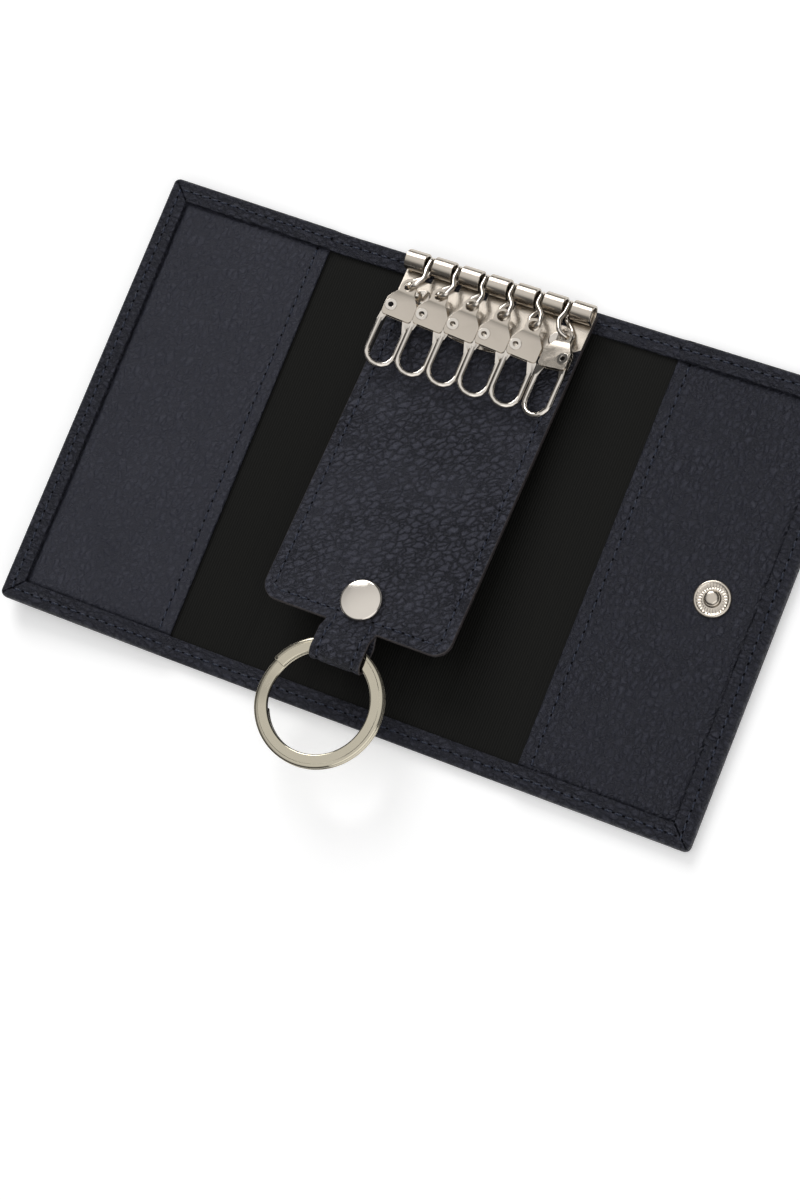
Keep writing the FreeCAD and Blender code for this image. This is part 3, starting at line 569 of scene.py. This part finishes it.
def hidePanel(name, x0, x1, freeX):
    h, top, thick = hide["halfHeight"], hide["hemTop"], hide["thick"]
    away = 0 if freeX is None else math.copysign(1, freeX)
    hemX = None if freeX is None else freeX - away * hide["hemWidth"]
    panel = addSlab(name, (x0, -h, 0), (x1, h, thick))
    sliceAt(panel, 1, (-hemInner, hemInner))
    if away:
        sliceAt(panel, 0, (hemX,))

    def inHem(p):
        return abs(p.y) > hemInner or (away and (p.x - hemX) * away > 0)

    pickFaces(panel, lambda p, n: n.z > facing and inHem(p))
    pullFaces(panel, (0, 0, top - thick))
    r = hide["cornerRound"]

    def onFreeEnd(p):
        return away and abs(p.x - freeX) < touch

    if away:
        pickEdges(panel, lambda a, b: abs(a.z - b.z) > touch and onFreeEnd(a) and onFreeEnd(b)
                  and abs(abs(a.y) - h) < touch)
        bevelEdges(panel, r, hide["cornerCuts"])

    def onOutline(p):
        if abs(p.y) > h - touch or onFreeEnd(p):
            return True
        if not away:
            return False
        dx, dy = (p.x - freeX) * away + r, abs(p.y) - h + r
        return dx > 0 and dy > 0 and abs(math.hypot(dx, dy) - r) < touch

    pickEdges(panel, lambda a, b: abs(a.z - b.z) < touch and (a.z < touch or a.z > top - touch)
              and onOutline(a) and onOutline(b))
    bevelEdges(panel, hide["edgeRound"], hide["edgeCuts"])

    def onLip(p):
        return abs(abs(p.y) - hemInner) < touch or (away and abs(p.x - hemX) < touch)

    pickEdges(panel, lambda a, b: a.z > top - touch and b.z > top - touch and onLip(a) and onLip(b)
              and (abs(a.x - b.x) > touch) != (abs(a.y - b.y) > touch))
    bevelEdges(panel, hide["lipRound"], hide["lipCuts"])
    sewn = [sewnY + d for d in sewnSteps]
    sliceAt(panel, 1, sewn + [-y for y in sewn])
    sliceAt(panel, 0, steps(x0, x1, max(2, round((x1 - x0) / hide["cutEvery"]))))
    if away:
        sliceAt(panel, 0, [freeX - away * (hide["sewnIn"] + d) for d in sewnSteps])
        sliceAt(panel, 1, steps(-hemInner, hemInner, hide["rows"]))
        mitreCuts(panel, hemX, away)
    if x0 < hide["socketAt"][0] < x1:
        punch(panel, hide["socketAt"], hide["socketHole"])
    keepFlat(panel, hide["grain"])

    def shaped(p):
        z = p.z
        if z > thick + touch:
            z = thick + (z - thick) * (1 + pocketRise(p.x) * hide["overPocket"] / (top - thick))
        if p.z > top - hide["sewnSkin"]:
            gap = abs(abs(p.y) - sewnY)
            if away and abs(p.y) < sewnY:
                gap = min(gap, abs((freeX - p.x) * away - hide["sewnIn"]))
            z -= hide["groove"] * math.exp(-(gap / sewnWide) ** 2)
            inX, inY = ((p.x - hemX) * away, abs(p.y) - hemInner) if away else (0, 0)
            if inX > 0 and inY > 0 and abs(inX - inY) < touch:
                z -= hide["mitreDeep"]
        return (p.x, p.y, z)
    movePoints(panel, shaped)
    smoothShade(panel)
    dress(panel, leather)
    return panel


# Hide and lining are cut between the folds, so that each piece spans one fold
spans = {
    "left_flap": (-1, ("left_spine", "left_flap"), "left_flap_fold", ("left_flap",)),
    "left_centre": (-1, ("centre", "left_spine"), "left_fold", ("left_spine", "centre")),
    "right_centre": (1, ("centre", "right_spine"), "right_fold", ("right_spine",)),
    "right_flap": (1, ("right_spine", "right_flap"), "right_flap_fold", ("right_flap",)),
}


def spanEnds(part, reach):
    ends = {"left_flap": (-reach, leftMiddle), "left_centre": (leftMiddle, 0.0),
            "right_centre": (0.0, rightMiddle), "right_flap": (rightMiddle, reach)}
    return ends[part]


for part, (away, bodies, fold, nodes) in spans.items():
    x0, x1 = spanEnds(part, hide["halfWidth"])
    freeX = away * hide["halfWidth"] if part.endswith("flap") else None
    panel = hidePanel("hide_" + part, x0, x1, freeX)
    if freeX is None:
        lines = [[(x0, -sewnY, 0), (x1, -sewnY, 0)], [(x0, sewnY, 0), (x1, sewnY, 0)]]
    else:
        inX, cutX = freeX - away * hide["sewnIn"], x1 if freeX < 0 else x0
        lines = [[(cutX, -sewnY, 0), (inX, -sewnY, 0), (inX, sewnY, 0), (cutX, sewnY, 0)]]
    seam = sewLine("seam_" + part, lines, hemSurface)
    for piece in (panel, seam):
        if part == "left_flap":
            liftLeft(piece)
        bendAcross(piece)
    stoodFor = [node + "_leather" for node in nodes]
    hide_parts(*stoodFor)
print("outer hide and hem seams ready")


# The lining cloth, with soft ridges where the case folds
cloth = {
    "bottom": 1.1, "top": 1.5, "halfHeight": 49.7, "reach": 83.0, "ridge": 0.22, "ridgeWide": 1.8,
    "slack": 0.1, "wavePerMm": 0.55, "waveSlant": 0.03, "openHalf": 43.5, "edgeFlat": 6.0, "stud": (0, -28.4),
    "studFlat": 7.0, "cutEvery": 1.2, "rows": 30,
}


def liningSheet(name, x0, x1):
    h, top = cloth["halfHeight"], cloth["top"]
    sheet = addSlab(name, (x0, -h, cloth["bottom"]), (x1, h, top))
    sliceAt(sheet, 0, steps(x0, x1, max(2, round((x1 - x0) / cloth["cutEvery"]))))
    sliceAt(sheet, 1, steps(-h, h, cloth["rows"]))
    keepFlat(sheet)

    def shaped(p):
        if p.z < top - touch or abs(p.x) > cloth["openHalf"]:
            return p
        inside = ease(0, cloth["edgeFlat"], h - abs(p.y))
        wave = math.sin(p.x * cloth["wavePerMm"] + cloth["waveSlant"] * p.y)
        lift = cloth["slack"] * (1 + wave) * 0.5
        for fold in ("left_fold", "right_fold"):
            lift += cloth["ridge"] * math.exp(-((p.x - foldAt[fold].x) / cloth["ridgeWide"]) ** 2)
        studX, studY = cloth["stud"]
        flatAtStud = 1 - math.exp(-((p.x - studX) ** 2 + (p.y - studY) ** 2) / cloth["studFlat"] ** 2)
        return (p.x, p.y, p.z + lift * inside * flatAtStud)
    movePoints(sheet, shaped)
    smoothShade(sheet)
    dress(sheet, lining)
    return sheet


for part, (away, bodies, fold, nodes) in spans.items():
    x0, x1 = spanEnds(part, cloth["reach"])
    name = "lining_" + part
    sheet = liningSheet(name, x0, x1)
    if part == "left_flap":
        liftLeft(sheet)
    bendAcross(sheet)
    stoodFor = [node + "_lining" for node in nodes]
    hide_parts(*stoodFor)
print("lining ready")


# Pockets: leather with a turned and sewn mouth, slightly full over what it holds
pocket = {
    "bottom": 1.5, "top": 2.4, "halfHeight": 49.4, "under": 83.5, "mouthRound": 0.42, "mouthCuts": 4,
    "sewnIn": 3.0, "groove": 0.2, "puff": 0.05, "puffFrom": 3.0, "puffFull": 14.0, "puffSide": 12.0,
    "puffEnd": 14.0, "tuck": 0.5, "tuckWide": 0.35, "tuckSteps": (0.1, 0.35, 0.8), "studX": 71.7,
    "studFlat": 60.0, "skinFrom": 2.0, "skinTo": 2.35, "besideMouth": (-1.6,), "pastSeam": 5, "columns": 22,
    "rows": 40, "seamShort": 0.5, "grain": {"left": 0.34, "right": 0.55}, "grainWay": 84.0,
}


def pocketSurface(x, y):
    mouth = abs(x) - abs(hide["pocketLeft"])
    inX, inY = hemInnerX - abs(x), hemInner - abs(y)
    full = ease(pocket["puffFrom"], pocket["puffFull"], mouth)
    full = full * ease(0.0, pocket["puffSide"], inX) * ease(0.0, pocket["puffEnd"], inY)
    flatAtStud = 1 - math.exp(-((x - pocket["studX"]) ** 2 + y * y) / pocket["studFlat"])
    inside = max(0.0, min(inY, inX))
    z = pocket["top"] + pocket["puff"] * full * flatAtStud
    z -= pocket["tuck"] * math.exp(-(inside / pocket["tuckWide"]) ** 2)
    return z - pocket["groove"] * math.exp(-((mouth - pocket["sewnIn"]) / sewnWide) ** 2)


def pocketPiece(name, mouthX, grain):
    h, top, under = pocket["halfHeight"], pocket["top"], pocket["under"]
    away = math.copysign(1, mouthX)
    low, high = sorted((mouthX, away * under))
    piece = addSlab(name, (low, -h, pocket["bottom"]), (high, h, top))
    pickEdges(piece, lambda a, b: abs(a.x - mouthX) < touch and abs(b.x - mouthX) < touch
              and abs(a.y - b.y) > touch)
    bevelEdges(piece, pocket["mouthRound"], pocket["mouthCuts"])
    sliceAt(piece, 0, [mouthX + away * (pocket["sewnIn"] + d) for d in pocket["besideMouth"] + sewnSteps])
    sliceAt(piece, 0, steps(mouthX + away * pocket["pastSeam"], away * under, pocket["columns"]))
    sliceAt(piece, 1, steps(-h, h, pocket["rows"]))
    sliceAt(piece, 0, [away * (hemInnerX - d) for d in pocket["tuckSteps"]])
    sliceAt(piece, 1, [side * (hemInner - d) for side in (-1, 1) for d in pocket["tuckSteps"]])
    keepFlat(piece, grain, pocket["grainWay"])

    def filled(p):
        share = ease(pocket["skinFrom"], pocket["skinTo"], p.z)
        return (p.x, p.y, p.z + (pocketSurface(p.x, p.y) - top) * share)
    movePoints(piece, filled)
    smoothShade(piece)
    dress(piece, leather)
    return piece


for side, mouthX in (("left", hide["pocketLeft"]), ("right", hide["pocketRight"])):
    piece = pocketPiece("pocket_" + side, mouthX, pocket["grain"][side])
    seamX = mouthX + math.copysign(pocket["sewnIn"], mouthX)
    seamEnd = hemInner - pocket["seamShort"]
    seam = sewLine("seam_pocket_" + side, [[(seamX, -seamEnd, 0), (seamX, seamEnd, 0)]], pocketSurface)
    for part in (piece, seam):
        if side == "left":
            liftLeft(part)
        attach(part, side + "_flap")
    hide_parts(side + "_pocket")
print("pockets ready")


# The tongue: two skins sewn together, with the front skin drawn out into a strap that goes round the ring
tongue = {
    "halfWidth": 23.4, "rootY": 52.6, "endY": -34.6, "bottom": 2.5, "middle": 3.3, "top": 4.1,
    "cornerRound": 4.0, "cornerCuts": 8, "edgeRound": 0.32, "edgeCuts": 3, "edgeOver": 60, "smoothUnder": 45,
    "lift": 6.1, "sewnIn": 2.5, "groove": 0.2, "sewnSkin": 0.05, "rows": (-30, 50, 28), "strapHalf": 6.3,
    "strapNear": -37.45, "strapFar": -41.65, "loopRadius": 1.75, "skin": 0.8, "sewnStrap": 1.9,
    "strapCuts": 40, "strapSteps": 12, "strapJoin": 0.6, "strapSewn": 0.45, "seamStart": 49.0, "seamGap": 0.4,
    "seamSteps": 6, "paintTilt": 0.8, "paintSide": 0.5, "paintEnd": 1.5, "grain": 0.78, "grainWay": 41.0,
    "pale": 0.72,
}


def strapLine():
    # outer line of the strap, seen from the side: over the ring, round it and back under to the tongue
    end, near, far, mid = tongue["endY"], tongue["strapNear"], tongue["strapFar"], tongue["middle"]
    radius = tongue["loopRadius"] + tongue["skin"]
    rise = mid + radius - tongue["top"]
    cuts = tongue["strapSteps"]
    climb = [rise * ease(0, cuts, k) for k in range(cuts + 1)]
    turns = [math.pi * k / (2 * cuts) for k in range(2 * cuts + 1)]
    line = [(end + (near - end) * k / cuts, tongue["top"] + up) for k, up in enumerate(climb)]
    line += [(far - radius * math.sin(a), mid + radius * math.cos(a)) for a in turns]
    line += [(near + (end - near) * k / cuts, mid - radius + up) for k, up in enumerate(climb)]
    return [Vector(p) for p in line]


strapPath = strapLine()
strapRuns = [(b - a).length for a, b in zip(strapPath, strapPath[1:])]
strapLong = sum(strapRuns)


def wrapStrap(piece):
    # lays what was drawn out flat beyond the tongue's end along the strap's line
    def wrapped(p):
        along = tongue["endY"] - p.y
        if along <= 0 or p.z < tongue["middle"] - touch or abs(p.x) > tongue["strapHalf"] + touch:
            return p
        for a, b, run in zip(strapPath, strapPath[1:], strapRuns):
            if along <= run:
                break
            along -= run
        way = (b - a) / run
        seat = a + way * along
        out = Vector((way.y, -way.x))
        seat = seat + out * (p.z - tongue["top"])
        return (p.x, seat.x, seat.y)
    movePoints(piece, wrapped)


def placeTongue(piece):
    hinge = foldAt["tongue_lift"]
    turn = Matrix.Rotation(math.radians(-tongue["lift"]), 3, "X")
    movePoints(piece, lambda p: hinge + turn @ (p - hinge))


seamX = tongue["halfWidth"] - tongue["sewnIn"]
seamY = tongue["endY"] + tongue["sewnIn"]
seamCorner = tongue["cornerRound"] - tongue["sewnIn"]
strapSeam = tongue["strapHalf"] - tongue["sewnStrap"]


def tongueGroove(x, y):
    if y < seamY - sewnWide:
        gap = abs(abs(x) - strapSeam)
    elif abs(x) > seamX - seamCorner and y < seamY + seamCorner:
        gap = abs(math.hypot(abs(x) - seamX + seamCorner, y - seamY - seamCorner) - seamCorner)
    elif y < seamY + seamCorner and abs(x) > strapSeam - tongue["strapJoin"]:
        gap = abs(y - seamY)
    else:
        gap = abs(abs(x) - seamX)
    return tongue["groove"] * math.exp(-(gap / sewnWide) ** 2)


def tongueSkin():
    half, end, top = tongue["halfWidth"], tongue["endY"], tongue["top"]
    skin = addSlab("tongue_leather", (-half, end, tongue["bottom"]), (half, tongue["rootY"], top))
    pickEdges(skin, lambda a, b: abs(a.z - b.z) > touch and abs(a.y - end) < touch and abs(b.y - end) < touch)
    bevelEdges(skin, tongue["cornerRound"], tongue["cornerCuts"])
    strap = tongue["strapHalf"]
    sliceAt(skin, 0, (-strap, strap))
    sliceAt(skin, 2, (tongue["middle"],))
    pickFaces(skin, lambda p, n: n.y < -facing and abs(p.x) < strap and p.z > tongue["middle"])
    for k in range(tongue["strapCuts"]):
        pullFaces(skin, (0, -strapLong / tongue["strapCuts"], 0))
    applyModifier(skin, "BEVEL", width=tongue["edgeRound"] * mm, segments=tongue["edgeCuts"],
                  limit_method="ANGLE", angle_limit=math.radians(tongue["edgeOver"]))
    sliceAt(skin, 0, [s * (line + d) for line in (seamX, strapSeam) for s in (-1, 1) for d in sewnSteps])
    sliceAt(skin, 1, [seamY + d for d in sewnSteps] + steps(*tongue["rows"]))
    keepFlat(skin, tongue["grain"], tongue["grainWay"], tongue["pale"])

    def sewnDown(p):
        onTop = p.z > top - tongue["sewnSkin"]
        return (p.x, p.y, p.z - tongueGroove(p.x, p.y)) if onTop else p
    movePoints(skin, sewnDown)
    smoothShade(skin, tongue["smoothUnder"])
    dress(skin, leather)
    skin.data.materials.append(edgePaint)
    for face in skin.data.polygons:
        onSide = abs(face.normal.x) > tongue["paintSide"]
        onEnd = abs(face.center.y / mm - end) < tongue["paintEnd"]
        face.material_index = 1 if abs(face.normal.z) < tongue["paintTilt"] and (onSide or onEnd) else 0
    return skin


paths = []
bends = [math.pi / 2 * k / tongue["seamSteps"] for k in range(tongue["seamSteps"] + 1)]
strapEnd = tongue["endY"] - strapLong * tongue["strapSewn"]
for side in (-1, 1):
    arc = [(side * (seamX - seamCorner + seamCorner * math.cos(a)),
            seamY + seamCorner - seamCorner * math.sin(a), 0) for a in bends]
    paths.append([(side * seamX, tongue["seamStart"], 0)] + arc + [(side * strapSeam, seamY, 0)])
    paths.append([(side * strapSeam, seamY - tongue["seamGap"], 0), (side * strapSeam, strapEnd, 0)])
skin = tongueSkin()
seam = sewLine("seam_tongue", paths, lambda x, y: tongue["top"] - tongue["groove"])
for piece in (skin, seam):
    wrapStrap(piece)
    placeTongue(piece)
    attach(piece, "tongue")
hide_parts("tongue_front", "tongue_back")
print("tongue ready")


# Metal: each pressed or bent piece is taken from its solid and gets worn edges and a smooth skin
metal = {
    "key_plate": ("satin", 0.12), "hook_body": ("satin", 0.09), "hook_rivet": ("bright", 0.16),
    "plate_rivets": ("bright", 0.1), "key_loop": ("bright", 0.07), "hanger": ("bright", 0.0),
    "hinge_rod": ("bright", 0.0),
}
wireFat = 0.08  # bent wire is drawn with eight flat sides, which look thinner than a round one
latchReach = 12  # millimetres from a hook's swivel, within which its wire keeps the pressed latch as it is
wornOver = 50  # degrees between faces, over which a metal edge is worn round


def finishMetal(piece, name, plate):
    smoothShade(piece)
    applyModifier(piece, "WEIGHTED_NORMAL", weight=50, keep_sharp=True)
    dress(piece, plate)
    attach(piece, bodyOf[name])
    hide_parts(name)


def metalCopy(name, finish, edge):
    piece = bpy.data.objects.new("metal_" + name, cadNodes[name].data.copy())
    bpy.context.scene.collection.objects.link(piece)
    startEdit(piece, "FACE")
    bpy.ops.mesh.select_all(action="SELECT")
    bpy.ops.mesh.remove_doubles(threshold=mergeGap * mm)
    if edge or name.startswith("hanger"):
        bpy.ops.mesh.dissolve_limited(angle_limit=math.radians(1))
    stopEdit()
    if name.startswith(("hanger", "key_loop")):
        swivel = Vector(joints["hook_" + name[-1] + "_swing"]["pos_m"]) / mm
        pickFaces(piece, lambda p, n: name.startswith("hanger") or (p - swivel).length > latchReach)
        startEdit(piece, "FACE")
        bpy.ops.transform.shrink_fatten(value=wireFat * mm)
        stopEdit()
    if edge:
        applyModifier(piece, "BEVEL", width=edge * mm, segments=2, limit_method="ANGLE",
                      angle_limit=math.radians(wornOver))
    finishMetal(piece, name, brightNickel if finish == "bright" else satinNickel)


for kind, (finish, edge) in metal.items():
    for name in [n for n in cadNodes if n == kind or n[:-2] == kind]:
        metalCopy(name, finish, edge)


# The split ring: a round-edged flat band, drawn out straight and wound twice, with a step where it climbs
ring = {
    "outer": 15.0, "band": 3.2, "layer": 1.14, "apart": 1.22, "ramp": 48.0, "end": 157.0, "middleY": -52.93,
    "swingY": -39.55, "droop": 5.0, "edgeRound": 0.45, "edgeCuts": 5, "endRound": 0.15, "endCuts": 2,
    "crease": 14.05, "creaseWide": 0.1, "creaseDeep": 0.14, "slope": 0.34, "cuts": 230,
}


def splitRing():
    half, outer = ring["layer"] / 2, ring["outer"]
    perDegree = math.radians(1) * (outer - ring["band"] / 2)
    bandLong = (2 * 360.0 - ring["ramp"]) * perDegree
    piece = addSlab("metal_split_ring", (0, outer - ring["band"], -half), (bandLong, outer, half))
    pickEdges(piece, lambda a, b: abs(a.x - b.x) > touch)
    bevelEdges(piece, ring["edgeRound"], ring["edgeCuts"])
    pickEdges(piece, lambda a, b: abs(a.x - b.x) < touch)
    bevelEdges(piece, ring["endRound"], ring["endCuts"])
    sliceAt(piece, 0, steps(0, bandLong, ring["cuts"]))
    sliceAt(piece, 1, [ring["crease"] + k * ring["creaseWide"] for k in (-1, 0, 1)])
    swing = Vector((0, ring["swingY"], tongue["middle"]))
    hang = Matrix.Rotation(math.radians(ring["droop"]), 3, "X")

    def wound(p):
        turn = p.x / perDegree
        level = ring["apart"] * (0.5 - ease(360.0 - ring["ramp"], 360.0, turn))
        # a fine crease parts the flat face from the shoulder that slopes to the ring's outside
        fromCrease = p.y - ring["crease"]
        thin = ring["creaseDeep"] if abs(fromCrease) < touch else ring["slope"] * max(0.0, fromCrease)
        z = p.z * (1 - thin / half)
        angle = math.radians(ring["end"] - turn)
        x, y = p.y * math.cos(angle), ring["middleY"] + p.y * math.sin(angle)
        return swing + hang @ (Vector((x, y, tongue["middle"] + z + level)) - swing)
    movePoints(piece, wound)
    placeTongue(piece)
    # the ring takes the darker nickel, its painted shade
    finishMetal(piece, "split_ring", ringShadedNickel)


splitRing()


# Turned pieces: half an outline spun round its axis, given from the face that each piece sits on
stud = {
    "flutes": 28, "perFlute": 6, "deep": 0.09, "from": 2.2, "to": 3.6, "fade": 0.3, "over": 0.2, "post": 1.0,
    "outline": (
        (1.0, 0.0), (4.3, 0.0), (4.3, 0.28), (4.22, 0.46), (4.02, 0.58), (3.8, 0.6), (3.62, 0.53),
        (3.5, 0.46), (3.2, 0.44), (2.8, 0.44), (2.4, 0.46), (2.2, 0.52), (2.0, 0.5), (1.8, 0.4), (1.55, 0.4),
        (1.42, 0.55), (1.46, 0.8), (1.62, 1.05), (1.7, 1.25), (1.66, 1.48), (1.5, 1.68), (1.22, 1.81),
        (0.8, 1.88), (0.4, 1.9), (0, 1.9)),
}
cap = {
    "radius": 4.9, "edgeRound": 0.6, "edgeCuts": 8, "shoulder": 0.75, "top": 1.6, "dome": 0.23, "post": 1.0,
    "y": -28.4, "around": 96, "rings": (3.5, 2.8, 2.1, 1.4, 0.7, 0),
}


def turnedPiece(name, outline, around):
    points = [(r * mm, 0, z * mm) for r, z in outline]
    mesh = bpy.data.meshes.new("metal_" + name)
    mesh.from_pydata(points, [(k, k + 1) for k in range(len(points) - 1)], [])
    piece = bpy.data.objects.new("metal_" + name, mesh)
    bpy.context.scene.collection.objects.link(piece)
    applyModifier(piece, "SCREW", steps=around, render_steps=around)
    startEdit(piece, "FACE")
    bpy.ops.mesh.select_all(action="SELECT")
    bpy.ops.mesh.remove_doubles(threshold=mergeGap * mm)
    bpy.ops.mesh.normals_make_consistent(inside=False)
    stopEdit()
    return piece


def snapStud(name, x, y, seat):
    below = cloth["bottom"] - seat
    outline = ((0, below), (stud["post"], below)) + stud["outline"]
    piece = turnedPiece(name, outline, stud["flutes"] * stud["perFlute"])

    def fluted(p):
        r = math.hypot(p.x, p.y)
        zone = ease(0, stud["fade"], r - stud["from"]) * ease(0, stud["fade"], stud["to"] - r)
        wave = 0.5 - 0.5 * math.cos(stud["flutes"] * math.atan2(p.y, p.x))
        dip = stud["deep"] * zone * wave if p.z > stud["over"] else 0
        return (p.x + x, p.y + y, p.z + seat - dip)
    movePoints(piece, fluted)
    finishMetal(piece, name, satinNickel)


snapStud("closure_stud", pocket["studX"], 0.0, pocket["top"])
snapStud("tongue_stud", cloth["stud"][0], cloth["stud"][1], cloth["top"])
bends = [math.pi / 2 * k / cap["edgeCuts"] for k in range(cap["edgeCuts"] + 1)]
inner, rolled, below = cap["radius"] - cap["edgeRound"], cap["edgeRound"], tongue["bottom"] - tongue["top"]
capOutline = [(0, below), (cap["post"], below), (cap["post"], 0), (cap["radius"], 0)]
capOutline += [(inner + rolled * math.cos(a), cap["shoulder"] + rolled * math.sin(a)) for a in bends]
capOutline += [(r, cap["top"] - cap["dome"] * (r / inner) ** 2) for r in cap["rings"]]
piece = turnedPiece("tongue_cap", capOutline, cap["around"])
movePoints(piece, lambda p: (p.x, p.y + cap["y"], p.z + tongue["top"]))
placeTongue(piece)
finishMetal(piece, "tongue_cap", brightNickel)
for name, node in cadNodes.items():
    if not node.hide_render:
        node.data.materials.clear()
        node.data.materials.append(satinNickel if "washer" in name else brightNickel)
print("metal ready")


# Floor, light and camera
studio = {
    "span": 12.0, "below": 0.0001, "paper": 0.975, "paperVaries": 0.01, "fibrePerMetre": 400.0,
    "paperRough": 0.9, "seenGlow": 0.2, "keyPlace": (-0.93, 1.33, 1.18), "keySize": 1.2, "keyGlow": 5.6,
    "fillPlace": (1.4, -1.0, 1.2), "fillSize": 2.6, "fillGlow": 1.0, "horizon": 0.1, "zenith": 1.0,
    "horizonUpTo": 0.58, "zenithFrom": 0.96,
}
bpy.ops.object.select_all(action="DESELECT")
bpy.ops.mesh.primitive_plane_add(size=studio["span"], location=(0, 0, cadLow.z - studio["below"]))
floor = bpy.context.object
floor.name = "floor"
floorPaper, tree, shader = newMaterial("paper_sweep_white")
paperPlace = addNode(tree, "ShaderNodeTexCoord", {}).outputs["Object"]
fibre = addNode(tree, "ShaderNodeTexNoise", {"Vector": paperPlace,
                                             "Scale": studio["fibrePerMetre"]}).outputs[0]
paperTone = addNode(tree, "ShaderNodeMapRange", {0: fibre, 3: studio["paper"] - studio["paperVaries"],
                                                 4: studio["paper"] + studio["paperVaries"]}).outputs[0]
paperColour = addNode(tree, "ShaderNodeCombineColor", {k: paperTone for k in range(3)}).outputs[0]
wire(tree, shader, Base_Color=paperColour)
shader.inputs["Roughness"].default_value = studio["paperRough"]
# the paper burns out to white where the camera sees it, straight on or mirrored in metal, and lights nothing
rays = addNode(tree, "ShaderNodeLightPath", {}).outputs
mirrored = addNode(tree, "ShaderNodeMath", {0: rays["Is Glossy Ray"], 1: rays["Is Transmission Ray"]},
                   operation="ADD").outputs[0]
seen = addNode(tree, "ShaderNodeMath", {0: rays["Is Camera Ray"], 1: mirrored}, operation="ADD",
               use_clamp=True).outputs[0]
shader.inputs["Emission Color"].default_value = (1, 1, 1, 1)
wire(tree, shader, Emission_Strength=addNode(tree, "ShaderNodeMath", {0: seen, 1: studio["seenGlow"]},
                                             operation="MULTIPLY").outputs[0])
floor.data.materials.append(floorPaper)


def softBox(name, place, size, glow):
    lamp = bpy.data.lights.new(name, "AREA")
    lamp.shape, lamp.size = "DISK", size
    lamp.energy = glow * math.pi ** 2 * (size / 2) ** 2
    box = bpy.data.objects.new(name, lamp)
    box.location = place
    box.rotation_mode = "QUATERNION"
    box.rotation_quaternion = (-Vector(place)).to_track_quat("-Z", "Y")
    bpy.context.scene.collection.objects.link(box)


for use in ("key", "fill"):
    softBox(use + "_softbox", studio[use + "Place"], studio[use + "Size"], studio[use + "Glow"])
world = bpy.data.worlds.new("light_tent")
bpy.context.scene.world = world
world.use_nodes = True
tree = world.node_tree
sky = addNode(tree, "ShaderNodeTexCoord", {}).outputs["Generated"]
height = addNode(tree, "ShaderNodeSeparateXYZ", {0: sky}).outputs[2]
glow = addNode(tree, "ShaderNodeMapRange", {
    0: height, 1: studio["horizonUpTo"], 2: studio["zenithFrom"], 3: studio["horizon"], 4: studio["zenith"]},
               interpolation_type="SMOOTHSTEP").outputs[0]
tree.nodes["Background"].inputs[0].default_value = (1, 1, 1, 1)
tree.links.new(glow, tree.nodes["Background"].inputs[1])

shot = {
    "azimuth": 69.60, "elevation": 69.18, "roll": -48.74, "target": (3.68, -22.93, 0.0), "distance": 655.3,
    "focal": 2896.0, "tall": 1200.0, "sensor": 36.0, "clip": (0.01, 20.0),
}
camData = bpy.data.cameras.new("photo_camera")
camera = bpy.data.objects.new("photo_camera", camData)
bpy.context.scene.collection.objects.link(camera)
az, el, ro = (math.radians(shot[key]) for key in ("azimuth", "elevation", "roll"))
back = Vector((math.sin(az) * math.cos(el), -math.cos(az) * math.cos(el), math.sin(el)))
right = Vector((0, 0, 1)).cross(back).normalized()
above = back.cross(right)
imageRight = right * math.cos(ro) + above * math.sin(ro)
imageUp = above * math.cos(ro) - right * math.sin(ro)
camera.matrix_world = Matrix.Translation((Vector(shot["target"]) + back * shot["distance"]) * mm) @ Matrix(
    (imageRight, imageUp, back)).transposed().to_4x4()
camData.sensor_width = shot["sensor"]
camData.lens = shot["focal"] / shot["tall"] * camData.sensor_width
camData.clip_start, camData.clip_end = shot["clip"]
bpy.context.scene.camera = camera
bpy.context.scene.view_settings.view_transform = "Standard"
print("studio ready")

bpy.context.view_layer.update()
